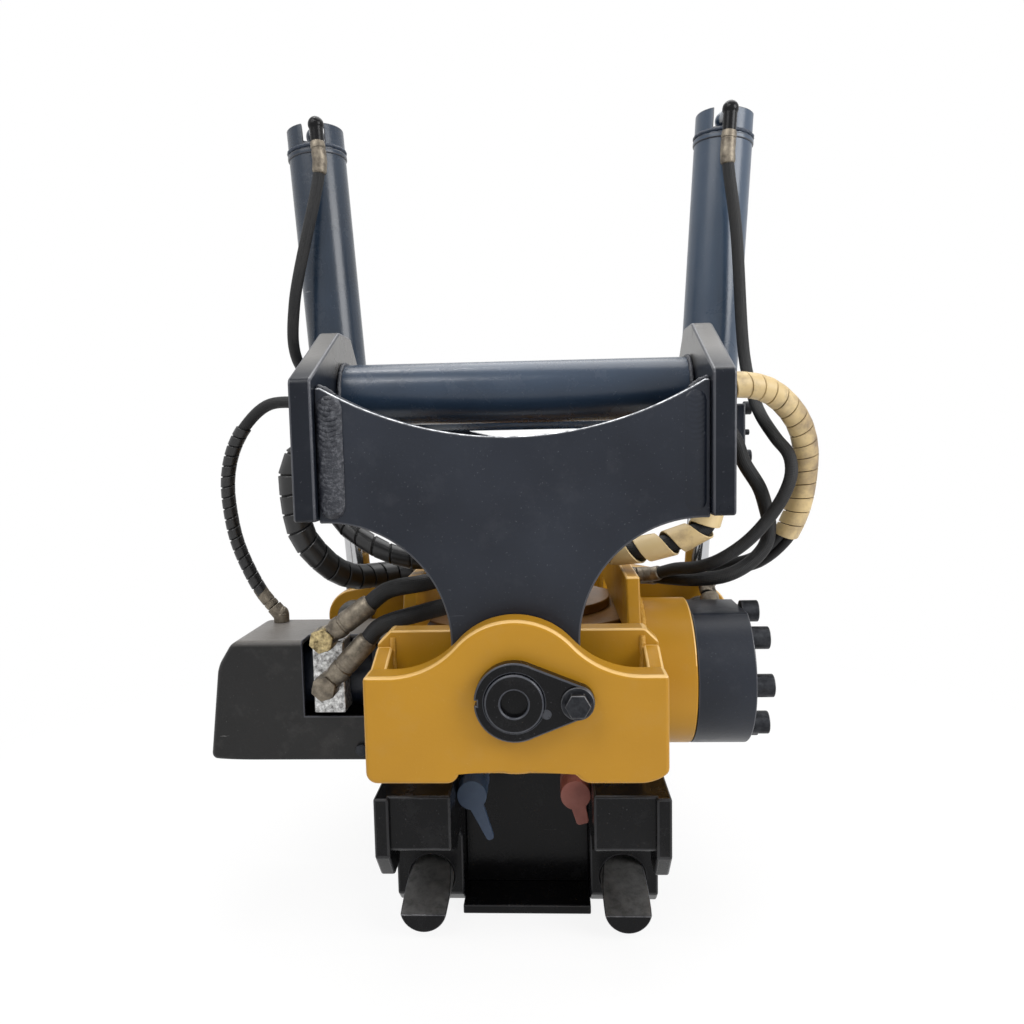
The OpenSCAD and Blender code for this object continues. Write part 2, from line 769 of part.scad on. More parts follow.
// Elbow nuts and ferrules on the port block, and the nipples on the guard, the drum and the rails
module port_elbows() {
    loop_end = last(route_loop_left);
    loop_foot = [loop_end[0] + loop_run, loop_end[1], guard_top + loop_rise];
    color(steel) {
        for (e = [[port_x, worm_z + 56, route_motor_upper[0]],
            [port_x + 2, worm_z + 7, route_motor_lower[0]]]) {
            y = e[2][1];
            translate([e[0], port_face, e[1]]) rotate([90, 0, 0])
                cylinder(r = 13, h = port_face - y + 11, $fn = 6);
            ferrule([e[0], y, e[1]], e[2], 10);
        }
        translate([loop_foot[0], loop_foot[1], 0]) round_z(9, guard_top, loop_foot[2] + 3);
        ferrule(loop_foot, loop_end, 9);
        at_worm() translate([last(route_bundle_right)[0], 0, 0]) rotate([-45, 0, 0]) difference() {
            round_z(11, drum_r - 4, 98 - seam);
            round_x(drum_r, -12, 12);
        }
        for (p = [last(route_bundle_left), last(route_cylinder_right), last(route_inner_right)])
            translate([0, p[1], p[2]]) mirror([p[0] < 0 ? 1 : 0, 0, 0])
                round_x(9, rail_x1, abs(p[0]) - seam);
    }
}

// Folded sheet cover over the motor, open to the housing, with a corner cut out for the ports
module guard_outline(t) {
    side = guard_x + guard_lean;
    end = motor_x + (t > 0 ? 1 : 0);
    polygon([[guard_x + t, guard_bot + t], [side + t, guard_top - guard_cut_h - 0.3 * t],
        [side + guard_cut_w + 0.55 * t, guard_top - t], [end, guard_top - t], [end, guard_bot + t]]);
}

module motor_guard() {
    cut_x = port_x - port_half - guard_side_gap;
    color(black) difference() {
        plate_y(guard_y0, guard_y1) guard_outline(0);
        plate_y(guard_y0 + guard_t, guard_y1 - guard_t) guard_outline(guard_t);
        span_box([cut_x, guard_y0 - 1, worm_z - guard_low_gap],
            [motor_x + 1, guard_y0 + guard_t + 1, guard_top + 1]);
        span_box([cut_x, guard_y0 - 1, guard_top - guard_t - 1],
            [port_x + port_half + guard_side_gap / 2, port_face + guard_top_gap, guard_top + 1]);
    }
}

// Rotary swivel with a port facing the end of each hose that reaches it
module swivel_body() {
    ends = [for (p = [route_motor_upper, route_motor_lower, route_tilt_left, route_tilt_right]) last(p)];
    color(black) {
        round_z(hub_r + hub_bush + swivel_rim, cover_top, cover_top + swivel_foot);
        round_z(swivel_r, cover_top + swivel_foot - 1, swivel_top);
        round_z(swivel_r - swivel_step, swivel_top - 1, swivel_top + swivel_cap);
        for (p = ends)
            rotate(atan2(p[1], p[0])) translate([0, 0, p[2]])
                round_x(9, swivel_r - 5, norm([p[0], p[1]]) - seam);
    }
}

// Worm, turned by the motor

module worm_section() {
    polygon([for (a = [-100, -40, -13, 13, 40, 100, 140, 180, 220])
        (abs(a) < 41 ? worm_tip : worm_root) * [cos(a), sin(a)]]);
}

module worm_shaft() {
    h = worm_lead * worm_turns;
    color(steel) at_worm() {
        round_x(shaft_r, motor_x + 0.5, drum_x + 15);
        translate([-h / 2, 0, 0]) rotate([0, 90, 0]) rotate(90 - 180 * worm_turns)
            linear_extrude(h, twist = -360 * worm_turns, slices = 24 * worm_turns, $fn = 9) worm_section();
    }
}

// Top hitch

// Side plate in Y and Z, arched below and dipped between the bars
module side_outline() {
    half = [[side_end, bar_z - side_drop], [side_end, bar_z + 8], [bar_y + 10, bar_z + 61],
        [bar_y - 35, bar_z + 61], [bar_y - 90, bar_z + 10]];
    under = [[bar_y - 50, bar_z - side_arch], [bar_y, bar_z - side_drop]];
    polygon(concat(half, [for (i = [len(half) - 1 : -1 : 0]) [-half[i][0], half[i][1]]],
        [for (i = [1, 0]) [-under[i][0], under[i][1]]], under));
}

module side_plate_right() { color(black) plate_x(side_in, side_out) side_outline(); }

module side_plate_left() { color(black) plate_x(-side_out, -side_in) side_outline(); }

// Tilt lug plate in X and Z: swept top edge, concave flanks, waist and round end
module lug_outline() {
    waist_x = lug_waist / 2 + 0.5;
    difference() {
        union() {
            difference() {
                translate([-side_in, tilt_z]) square([2 * side_in, lug_top - tilt_z]);
                for (s = [-1, 1]) {
                    translate([s * flank_x, flank_z]) circle(r = flank_r);
                    polygon([[s * waist_x, tilt_z - 1], [s * waist_x, flank_z],
                        [s * (side_in + 1), flank_z], [s * (side_in + 1), tilt_z - 1]]);
                }
            }
            translate([0, tilt_z]) circle(r = lug_r);
        }
        translate([0, lug_top - lug_sweep + sweep_r]) circle(r = sweep_r);
        translate([0, tilt_z]) circle(r = bush_r);
    }
}

module lug_plate_front() { color(black) plate_y(-lug_y1, -lug_y0) lug_outline(); }

module lug_plate_rear() { color(black) plate_y(lug_y0, lug_y1) lug_outline(); }

module hitch_bars() {
    color(black) front_and_rear() translate([0, bar_y, bar_z]) round_x(bar_d / 2, -side_in, side_in);
}

module tilt_bushes() {
    color(bronze) front_and_rear() translate([0, 0, tilt_z]) difference() {
        round_y(bush_r, lug_y0, lug_y1);
        round_y(pin_d / 2 + fit, lug_y0 - 1, lug_y1 + 1);
    }
}

// Split trunnion bearings: a block on the side plate and a cap outside it
module trunnion_blocks() {
    color(black) both_sides() front_and_rear() difference() {
        union() {
            span_box([side_out, block_y0, trun_z - block_h / 2], [trun_x, block_y1, trun_z + block_h / 2]);
            span_box([trun_x + 0.5, block_y0, trun_z - block_h / 2 + 4],
                [block_x1, block_y1, trun_z + block_h / 2 - 4]);
        }
        translate([trun_x, 0, trun_z]) round_y(trun_d / 2 + fit, block_y0 - 1, block_y1 + 1);
    }
}

module trunnion_bolts() {
    color(black) both_sides() front_and_rear() translate([block_x1, block_y0 + block_w / 2, trun_z]) {
        for (s = [-1, 1]) translate([0, 0, s * cap_bolt_z]) round_x(8, 0, 9);
        round_x(3.5, 0, 7);
    }
}

// Bulkhead nipples on the side plates, and an elbow on each for the hose that drops from it
module hose_fittings() {
    color(steel) {
        for (p = [[last(route_cylinder_left), 9], [route_loop_left[0], 10], [route_bundle_left[0], 14]])
            translate([0, p[0][1], p[0][2]]) round_x(p[1], p[0][0], -side_out);
        for (p = [[route_bundle_right[0], 14], [route_inner_right[0], 10]])
            translate([0, p[0][1], p[0][2]]) round_x(p[1], side_out, p[0][0]);
        both_sides() translate(route_tilt_right[0]) {
            round_z(13, seam, 24);
            translate([0, 0, 12]) round_x(9, side_out - route_tilt_right[0][0], 0);
        }
    }
}

// Tilt cylinders

// Barrel with trunnion stubs, a slotted collar at the top and the port elbow inside it
module barrel() {
    top = barrel_up - collar_h;
    difference() {
        union() {
            round_z(barrel_r, -barrel_down, top);
            round_z(barrel_r + 1.5, top - 3, top + 3);
            difference() {
                round_z(barrel_r, top - 1, barrel_up);
                round_z(barrel_r - 8, top, barrel_up + 1);
                for (a = [-100, 0, 130])
                    rotate(a) translate([0, -13, top + 10]) cube([barrel_r + 5, 26, collar_h]);
            }
            round_y(trun_d / 2, -block_y1, block_y1);
        }
        round_z(bore_r, -barrel_down - 1, top - 16);
    }
}

// Port elbow from the blind end, out through the collar's front slot and down to the hose
module port_elbow(start) {
    d = [abs(start[0]) - trun_x, start[1], start[2] - trun_z];
    p = [d[0] * cos(lean) - d[2] * sin(lean), d[1], d[0] * sin(lean) + d[2] * cos(lean) + 0.6];
    top = barrel_up - collar_h;
    bend_z = top + 28;
    round_z(10, top - 1, bend_z);
    translate([0, 0, bend_z]) sphere(r = 11.5, $fn = 48);
    rod_between([0, 0, bend_z], [p[0], p[1], bend_z - 6], 8);
    translate([p[0], p[1], bend_z - 6]) sphere(r = 9.5, $fn = 48);
    rod_between([p[0], p[1], bend_z - 6], p, 8);
}

module barrel_right() {
    color(black) at_trunnion() {
        barrel();
        port_elbow(route_cylinder_right[0]);
    }
}

module barrel_left() {
    color(black) mirror([1, 0, 0]) at_trunnion() {
        barrel();
        port_elbow(route_cylinder_left[0]);
    }
}

module gland() {
    difference() {
        union() {
            round_z(barrel_r, -barrel_down - 12, -barrel_down);
            round_z(bore_r - fit, -barrel_down - eps, -barrel_down + gland_h);
        }
        round_z(rod_d / 2 + fit, -barrel_down - 13, -barrel_down + gland_h + 1);
    }
}

module gland_right() { color(black) at_trunnion() gland(); }

module gland_left() { color(black) mirror([1, 0, 0]) at_trunnion() gland(); }

// Rod with its piston and the eye at its end
module rod() {
    difference() {
        union() {
            round_z(rod_d / 2, -cyl_len + eye_pin_d / 2 + 3, piston_z + 1);
            round_z(neck_r, -cyl_len + eye_pin_d / 2 + 3, -cyl_len + eye_r + 12);
            round_z(bore_r - fit, piston_z, piston_z + piston_h);
            translate([0, 0, -cyl_len]) round_y(eye_r, -eye_w / 2, eye_w / 2);
        }
        translate([0, 0, -cyl_len]) round_y(eye_pin_d / 2 + fit, -eye_w, eye_w);
    }
}

module rod_right() { color(chrome) at_trunnion() rod(); }

module rod_left() { color(chrome) mirror([1, 0, 0]) at_trunnion() rod(); }

// Hoses

module hose_cylinder_left() { color(rubber) hose(route_cylinder_left, r_cylinder); }

module hose_cylinder_right() { color(rubber) hose(route_cylinder_right, r_cylinder); }

module hose_loop_left() { color(rubber) hose(route_loop_left, r_loop); }

module hose_bundle_left() { color(rubber) hose(route_bundle_left, r_bundle_left); }

module hose_tilt_left() { color(rubber) hose(route_tilt_left, r_tilt_left); }

module hose_motor_upper() { color(rubber) hose(route_motor_upper, r_motor); }

module hose_motor_lower() { color(rubber) hose(route_motor_lower, r_motor); }

module hose_bundle_right() { color(wrap) hose(route_bundle_right, r_bundle_right); }

module hose_inner_right() { color(rubber) hose(route_inner_right, r_inner); }

module hose_tilt_right() { color(wrap) hose(route_tilt_right, r_tilt_right); }

hitch_flange();
cheek_left();
cheek_right();
hitch_floor();
hitch_walls();
lock_barrel();
couplers();
worm_wheel();
lock_yoke();
lock_wedges();
lock_rod();
red_cap();
blue_cap();
gear_case();
case_cover();
housing_bolts();
slew_bushes();
fork_plate_front();
fork_plate_rear();
cross_walls();
fork_gussets();
side_rails();
cylinder_ears();
ear_pins();
tilt_pins();
lock_plates();
lock_bolts();
end_cap();
worm_bearings();
drive_motor();
port_block();
port_elbows();
motor_guard();
swivel_body();
worm_shaft();
side_plate_left();
side_plate_right();
lug_plate_front();
lug_plate_rear();
hitch_bars();
tilt_bushes();
trunnion_blocks();
trunnion_bolts();
hose_fittings();
barrel_left();
gland_left();
barrel_right();
gland_right();
rod_left();
rod_right();
hose_cylinder_left();
hose_cylinder_right();
hose_loop_left();
hose_bundle_left();
hose_tilt_left();
hose_motor_upper();
hose_motor_lower();
hose_bundle_right();
hose_inner_right();
hose_tilt_right();
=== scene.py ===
# Tilt rotator: paint, welds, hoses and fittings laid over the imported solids
import json
import math
import random
import bpy
from mathutils import Matrix, Vector


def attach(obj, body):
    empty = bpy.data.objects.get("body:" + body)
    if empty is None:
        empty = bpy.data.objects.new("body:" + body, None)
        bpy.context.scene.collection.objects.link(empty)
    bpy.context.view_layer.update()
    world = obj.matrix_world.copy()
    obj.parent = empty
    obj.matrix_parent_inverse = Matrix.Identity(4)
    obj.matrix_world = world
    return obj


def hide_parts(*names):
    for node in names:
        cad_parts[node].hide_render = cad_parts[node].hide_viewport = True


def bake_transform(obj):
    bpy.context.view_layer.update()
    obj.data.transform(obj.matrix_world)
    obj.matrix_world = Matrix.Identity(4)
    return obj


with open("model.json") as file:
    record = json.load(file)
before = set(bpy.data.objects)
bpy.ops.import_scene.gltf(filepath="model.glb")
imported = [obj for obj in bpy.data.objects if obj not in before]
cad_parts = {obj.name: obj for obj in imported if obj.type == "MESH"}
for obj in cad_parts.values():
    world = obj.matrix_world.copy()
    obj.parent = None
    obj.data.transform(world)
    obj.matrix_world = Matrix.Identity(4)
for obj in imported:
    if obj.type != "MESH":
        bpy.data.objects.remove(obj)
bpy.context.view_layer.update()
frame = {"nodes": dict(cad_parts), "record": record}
nodes = frame["nodes"]
bodyOfNode = {n: b for b, members in frame["record"]["behaviour"]["bodies"].items() for n in members}
slotOfNode = {s["node"]: s["material_slot"] for s in frame["record"]["subparts"]}
mm = 0.001
bpy.ops.object.select_all(action="DESELECT")
print("frame loaded:", len(nodes), "nodes")


# Shader sums

class Wire:
    # an output socket that can be used like a number
    def __init__(self, tree, out=None):
        self.tree = tree
        self.out = out

    def node(self, kind, settings, inputs, out=0):
        made = self.tree.nodes.new("ShaderNode" + kind)
        for key, value in settings.items():
            if key == "stops":
                while len(made.color_ramp.elements) < len(value):
                    made.color_ramp.elements.new(0.5)
                for element, (place, grey) in zip(made.color_ramp.elements, value):
                    element.position = place
                    element.color = (grey, grey, grey, 1)
            else:
                setattr(made, key, value)
        feed(made, inputs)
        return Wire(self.tree, made.outputs[out])

    def sum(self, operation, first, second):
        return self.node("Math", {"operation": operation}, {0: first, 1: second})

    def __add__(self, other):
        return self.sum("ADD", self, other)

    def __sub__(self, other):
        return self.sum("SUBTRACT", self, other)

    def __rsub__(self, other):
        return self.sum("SUBTRACT", other, self)

    def __mul__(self, other):
        return self.sum("MULTIPLY", self, other)

    def __gt__(self, other):
        return self.sum("GREATER_THAN", self, other)

    __radd__ = __add__
    __rmul__ = __mul__

    def part(self, axis):
        return self.node("SeparateXYZ", {}, {0: self}, out=axis)

    def noise(self, scale, detail=2.0, roughness=0.5, stretch=None):
        place = self
        if stretch:
            place = self.node("Mapping", {}, {"Vector": self, "Scale": stretch})
        return self.node("TexNoise", {}, {"Vector": place, "Scale": scale, "Detail": detail,
                                          "Roughness": roughness})

    def ramp(self, low, high):
        return self.node("ValToRGB", {"stops": [(low, 0), (high, 1)]}, {0: self})

    def mix(self, first, second):
        # this wire picks between two colours
        return self.node("Mix", {"data_type": "RGBA"}, {0: self, 6: first, 7: second}, out=2)

    def bump(self, strength, distance):
        return self.node("Bump", {}, {"Height": self, "Strength": strength, "Distance": distance})

    def wave(self):
        return self.node("Math", {"operation": "SINE"}, {0: self})

    def shownRays(self):
        # 1 for rays that show the background: to the camera, off metal or through glass
        seen, shiny, clear = (self.node("LightPath", {}, {}, out="Is " + kind + " Ray")
                              for kind in ("Camera", "Glossy", "Transmission"))
        return self.sum("MAXIMUM", seen, self.sum("MAXIMUM", shiny, clear))


def feed(node, inputs):
    # links and fixed values for a node's sockets
    for key, value in inputs.items():
        if isinstance(value, Wire):
            value.tree.links.new(value.out, node.inputs[key])
        else:
            node.inputs[key].default_value = value


def rgb(r, g, b):
    return (r, g, b, 1)


def newMaterial(name):
    made = bpy.data.materials.new(name)
    made.use_nodes = True
    tree = made.node_tree
    place = Wire(tree).node("TexCoord", {}, {}, out="Object")
    return made, tree.nodes["Principled BSDF"], place


# Paint: a coat with slow tone changes, dust, small scuffs and orange peel; a lighter top band is settled dust
# on the guard and painted light on the side plates
paints = {
    "blackPaint": {"coat": rgb(0.0035, 0.0058, 0.012), "tone": rgb(0.011, 0.0145, 0.0235),
                   "dust": rgb(0.06, 0.062, 0.072), "dusty": 0.22, "scuff": rgb(0.14, 0.145, 0.16),
                   "gloss": 0.30, "peel": 0.2, "specular": 0.34},
    # side plates: the pale band on the sloped tops is painted light from above
    "platePaint": {"coat": rgb(0.0035, 0.005, 0.009), "tone": rgb(0.007, 0.009, 0.014),
                   "dust": rgb(0.05, 0.052, 0.06), "dusty": 0.2, "scuff": rgb(0.12, 0.125, 0.14),
                   "gloss": 0.24, "peel": 0.18, "specular": 0.2, "roof": (0.578, 0.598),
                   "topDustAndLight": rgb(0.17, 0.165, 0.158)},
    "deepBlack": {"coat": rgb(0.0028, 0.0028, 0.0034), "tone": rgb(0.0054, 0.0054, 0.006),
                  "dust": rgb(0.045, 0.045, 0.047), "dusty": 0.22, "scuff": rgb(0.12, 0.12, 0.125),
                  "gloss": 0.2, "peel": 0.2, "specular": 0.16},
    "bluePaint": {"coat": rgb(0.016, 0.029, 0.052), "tone": rgb(0.027, 0.047, 0.080),
                  "dust": rgb(0.09, 0.10, 0.115), "dusty": 0.2, "scuff": rgb(0.2, 0.21, 0.23),
                  "gloss": 0.22, "peel": 0.16, "specular": 0.46},
    "barrelPaint": {"coat": rgb(0.010, 0.0178, 0.031), "tone": rgb(0.018, 0.031, 0.052),
                    "dust": rgb(0.08, 0.088, 0.10), "dusty": 0.2, "scuff": rgb(0.2, 0.21, 0.23),
                    "gloss": 0.22, "peel": 0.16, "specular": 0.42},
    # right barrel: a lighter copy of the barrel paint, a painted highlight
    "highlitBarrelPaint": {"coat": rgb(0.027, 0.045, 0.074), "tone": rgb(0.039, 0.061, 0.096),
                   "dust": rgb(0.10, 0.11, 0.13), "dusty": 0.2, "scuff": rgb(0.2, 0.21, 0.23),
                   "gloss": 0.24, "peel": 0.16, "specular": 0.46},
    # lighter edge coat for black pieces: wear, and a painted highlight on the rounded edges
    "blackEdgeWornAndLit": {"coat": rgb(0.022, 0.024, 0.032), "tone": rgb(0.04, 0.043, 0.053),
                  "dust": rgb(0.12, 0.12, 0.13), "dusty": 0.5, "scuff": rgb(0.3, 0.3, 0.31),
                  "gloss": 0.28, "peel": 0.2, "specular": 0.5},
    # dimmer edge coat for the hitch: wear, and a slight painted highlight on the rounded edges
    "hitchEdgeWornAndLit": {"coat": rgb(0.009, 0.009, 0.0105), "tone": rgb(0.015, 0.015, 0.017),
                  "dust": rgb(0.07, 0.07, 0.073), "dusty": 0.4, "scuff": rgb(0.2, 0.2, 0.21),
                  "gloss": 0.24, "peel": 0.2, "specular": 0.3},
    "guardPaint": {"coat": rgb(0.007, 0.0068, 0.007), "tone": rgb(0.013, 0.0127, 0.0127),
                   "dust": rgb(0.09, 0.087, 0.084), "dusty": 0.35, "scuff": rgb(0.24, 0.235, 0.23),
                   "gloss": 0.36, "peel": 0.6, "specular": 0.3, "roof": (0.3040, 0.3066),
                   "topDustAndLight": rgb(0.28, 0.26, 0.24)},
    "yellowPaint": {"coat": rgb(0.385, 0.191, 0.0095), "tone": rgb(0.345, 0.168, 0.0085),
                    "dust": rgb(0.34, 0.22, 0.085), "dusty": 0.2, "scuff": rgb(0.56, 0.36, 0.12),
                    "gloss": 0.34, "peel": 0.16, "specular": 0.27},
    # pale edge yellow: wear, and a painted highlight on the rounded edges that face up
    "yellowEdgeWornAndLit": {"coat": rgb(0.60, 0.36, 0.10), "tone": rgb(0.66, 0.44, 0.18),
                   "dust": rgb(0.42, 0.28, 0.13), "dusty": 0.2, "scuff": rgb(0.72, 0.54, 0.28),
                   "gloss": 0.34, "peel": 0.2, "specular": 0.35},
    # painted shade with grease: a darker, browner yellow for the case cover and swivel down in the box
    "greasyAndShadedYellow": {"coat": rgb(0.20, 0.092, 0.016), "tone": rgb(0.085, 0.042, 0.016),
                   "dust": rgb(0.05, 0.032, 0.02), "dusty": 0.6, "scuff": rgb(0.34, 0.19, 0.05),
                   "gloss": 0.3, "peel": 0.3, "specular": 0.4},
}


# Noise scales of the marks in a coat, from coarse to fine
coatMarks = {"patch": 5, "tone": 7, "scuff": 22, "dust": 34, "flow": 60, "peel": 260, "fleck": 520}


def paintCoat(name):
    look = paints[name]
    made, shader, place = newMaterial(name)
    slow = place.noise(coatMarks["tone"], 3, 0.55)
    dust = place.noise(coatMarks["dust"], 7, 0.68).ramp(0.54, 0.86)
    scuff = place.noise(coatMarks["scuff"], 4, 0.6, (1.0, 1.0, 9.0)).ramp(0.70, 0.74)
    scuff = scuff * place.noise(coatMarks["patch"], 2).ramp(0.5, 0.62)
    fleck = place.noise(coatMarks["fleck"], 1).ramp(0.72, 0.80)
    base = slow.ramp(0.35, 0.7).mix(look["coat"], look["tone"])
    base = (dust * look["dusty"]).mix(base, look["dust"])
    base = (scuff * 0.5 + fleck * 0.25).mix(base, look["scuff"])
    rough = look["gloss"] + dust * 0.22 + slow * 0.08
    if "roof" in look:
        # lighter top face between two heights: settled dust on the guard, painted light on the side plates'
        # sloped tops
        roof = place.part("Z").ramp(*look["roof"])
        base = (roof * (0.55 + slow * 0.5)).mix(base, look["topDustAndLight"])
    grain = place.noise(coatMarks["peel"], 2) * 0.7 + place.noise(coatMarks["flow"], 3) * 0.6
    feed(shader, {"Base Color": base, "Roughness": rough, "Normal": grain.bump(look["peel"], 0.0008),
                  "Specular IOR Level": look["specular"]})
    return made


# Weld beads: paint over rough, rippled metal
def weldMetal(name, coat, bare):
    made, shader, place = newMaterial(name)
    lumps = place.noise(230, 5, 0.7)
    spatter = place.noise(420, 3, 0.6)
    base = lumps.ramp(0.48, 0.72).mix(coat, bare)
    rough = 0.34 + spatter * 0.3
    feed(shader, {"Base Color": base, "Roughness": rough,
                  "Normal": (lumps + spatter * 0.5).bump(0.75, 0.0016)})
    return made


# Bare metal: steel, plated fittings, chrome and bronze
metals = {
    "bareSteel": {"light": rgb(0.42, 0.415, 0.40), "dark": rgb(0.20, 0.195, 0.185), "gloss": 0.34,
                  "grain": 0.25, "patch": 60},
    "ferruleSteel": {"light": rgb(0.26, 0.225, 0.175), "dark": rgb(0.10, 0.085, 0.068), "gloss": 0.42,
                     "grain": 0.35, "patch": 90},
    "platedHex": {"light": rgb(0.62, 0.50, 0.26), "dark": rgb(0.12, 0.09, 0.045), "gloss": 0.38,
                  "grain": 0.5, "patch": 170},
    "blackSteel": {"light": rgb(0.040, 0.042, 0.047), "dark": rgb(0.014, 0.015, 0.018), "gloss": 0.34,
                   "grain": 0.4, "patch": 90},
    "silverBlock": {"light": rgb(0.80, 0.80, 0.79), "dark": rgb(0.15, 0.148, 0.145), "gloss": 0.26,
                    "grain": 0.9, "patch": 190},
    "bronze": {"light": rgb(0.50, 0.33, 0.13), "dark": rgb(0.28, 0.18, 0.07), "gloss": 0.36,
               "grain": 0.2, "patch": 60},
    "wedgeSteel": {"light": rgb(0.36, 0.355, 0.35), "dark": rgb(0.15, 0.148, 0.145), "gloss": 0.34,
                   "grain": 0.2, "patch": 60},
    "wornSteel": {"light": rgb(0.15, 0.15, 0.155), "dark": rgb(0.035, 0.036, 0.04), "gloss": 0.38,
                  "grain": 0.35, "patch": 60},
    # bright edge metal for the lug tops: bare wear, and a painted highlight
    "wornAndLitEdge": {"light": rgb(0.70, 0.71, 0.73), "dark": rgb(0.10, 0.105, 0.115), "gloss": 0.3,
                 "grain": 0.3, "patch": 110},
}


def metalSkin(name):
    look = metals[name]
    made, shader, place = newMaterial(name)
    blotch = place.noise(look["patch"], 6, 0.7)
    fine = place.noise(480, 2)
    base = blotch.ramp(0.36, 0.66).mix(look["dark"], look["light"])
    rough = look["gloss"] + (1 - blotch) * 0.2
    feed(shader, {"Base Color": base, "Roughness": rough, "Metallic": 0.85,
                  "Normal": (fine * 0.6 + blotch).bump(look["grain"], 0.0006)})
    return made


# Piston rods: hard chrome down to the neck, then the painted eye
rodLook = {"neck": 0.3432, "chrome": rgb(0.55, 0.555, 0.57), "film": rgb(0.38, 0.375, 0.37),
           "eye": rgb(0.009, 0.010, 0.013)}


def chromeRod():
    made, shader, place = newMaterial("chromeRod")
    rings = place.noise(30, 3, 0.6, (0.4, 0.4, 30.0))
    film = place.noise(16, 4, 0.6)
    plated = place.part("Z") > rodLook["neck"]
    rough = 0.3 - plated * 0.22 + rings * 0.06 + film.ramp(0.5, 0.8) * 0.12
    chrome = film.ramp(0.45, 0.8).mix(rodLook["chrome"], rodLook["film"])
    base = plated.mix(rodLook["eye"], chrome)
    feed(shader, {"Base Color": base, "Roughness": rough, "Metallic": plated,
                  "Normal": rings.bump(0.05, 0.0002)})
    return made


# Hose rubber with the cloth print of its cover, and the plastic of the spiral wraps
rubberLook = {"skin": rgb(0.0055, 0.0058, 0.0066), "dust": rgb(0.045, 0.0425, 0.041),
              "along": 1800, "around": 75.4}


def hoseRubber():
    made, shader, place = newMaterial("hoseRubber")
    run = place.node("UVMap", {"uv_map": "run"}, {})
    along = run.part("X") * rubberLook["along"]
    around = run.part("Y") * rubberLook["around"]
    weave = (along + around).wave() * (along - around).wave()
    dust = place.noise(26, 5, 0.65).ramp(0.45, 0.8)
    base = (dust * 0.4).mix(rubberLook["skin"], rubberLook["dust"])
    rough = 0.52 + dust * 0.2
    feed(shader, {"Base Color": base, "Roughness": rough, "Normal": weave.bump(0.35, 0.0005),
                  "Specular IOR Level": 0.3})
    return made


wraps = {
    "blackWrap": {"skin": rgb(0.0055, 0.0056, 0.0062), "tone": rgb(0.011, 0.011, 0.0118),
                  "dirt": rgb(0.06, 0.056, 0.052), "dirty": 0.38, "gloss": 0.36},
    "paleWrap": {"skin": rgb(0.55, 0.42, 0.215), "tone": rgb(0.46, 0.335, 0.155),
                 "dirt": rgb(0.12, 0.085, 0.06), "dirty": 0.85, "gloss": 0.44},
}


def wrapPlastic(name):
    look = wraps[name]
    made, shader, place = newMaterial(name)
    slow = place.noise(18, 3)
    # more dirt where the right bundle bows out
    outer = place.part("X").ramp(0.30, 0.34)
    dirt = (place.noise(24, 6, 0.7) + outer * 0.34).ramp(0.53, 0.80)
    base = slow.ramp(0.35, 0.65).mix(look["skin"], look["tone"])
    base = (dirt * look["dirty"]).mix(base, look["dirt"])
    rough = look["gloss"] + dirt * 0.2
    fine = place.noise(300, 3)
    feed(shader, {"Base Color": base, "Roughness": rough, "Normal": fine.bump(0.12, 0.0005)})
    return made


def capPlastic(name, skin, faded):
    made, shader, place = newMaterial(name)
    slow = place.noise(40, 5, 0.6)
    fine = place.noise(350, 2)
    feed(shader, {"Base Color": slow.ramp(0.35, 0.75).mix(skin, faded), "Roughness": 0.46 + slow * 0.2,
                  "Normal": (fine + slow).bump(0.2, 0.0006)})
    return made


finish = {name: paintCoat(name) for name in paints}
finish.update({name: metalSkin(name) for name in metals})
finish.update({name: wrapPlastic(name) for name in wraps})
finish["chromeRod"] = chromeRod()
finish["hoseRubber"] = hoseRubber()
finish["redCap"] = capPlastic("redCap", rgb(0.18, 0.043, 0.029), rgb(0.265, 0.09, 0.066))
finish["blueCap"] = capPlastic("blueCap", rgb(0.013, 0.028, 0.062), rgb(0.034, 0.058, 0.10))
finish["blackWeld"] = weldMetal("blackWeld", rgb(0.009, 0.011, 0.018), rgb(0.10, 0.104, 0.118))
finish["blueWeld"] = weldMetal("blueWeld", rgb(0.012, 0.022, 0.042), rgb(0.03, 0.046, 0.075))
finish["yellowWeld"] = weldMetal("yellowWeld", rgb(0.43, 0.215, 0.014), rgb(0.54, 0.31, 0.07))
print("materials made:", len(finish))


# Modelling helpers

def pick(piece):
    bpy.ops.object.select_all(action="DESELECT")
    piece.select_set(True)
    bpy.context.view_layer.objects.active = piece


def addModifier(piece, kind, **settings):
    added = piece.modifiers.new(kind.lower(), kind)
    for key, value in settings.items():
        setattr(added, key, value)
    pick(piece)
    bpy.ops.object.modifier_apply(modifier=added.name)


def smoothShade(piece, angle=35):
    pick(piece)
    bpy.ops.object.shade_smooth_by_angle(angle=math.radians(angle))


def wear(piece, *names):
    piece.data.materials.clear()
    for name in names:
        piece.data.materials.append(finish[name])


def meshPiece(name, points, faces):
    mesh = bpy.data.meshes.new(name)
    mesh.from_pydata(points, [], faces)
    piece = bpy.data.objects.new(name, mesh)
    bpy.context.scene.collection.objects.link(piece)
    return piece


def faceOut(piece, turned=False):
    pick(piece)
    bpy.ops.object.mode_set(mode="EDIT")
    bpy.ops.mesh.select_all(action="SELECT")
    bpy.ops.mesh.normals_make_consistent(inside=False)
    if turned:
        bpy.ops.mesh.flip_normals()
    bpy.ops.object.mode_set(mode="OBJECT")


def placePiece(piece, body):
    pick(piece)
    bpy.ops.object.transform_apply(location=True, rotation=True, scale=True)
    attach(piece, body)
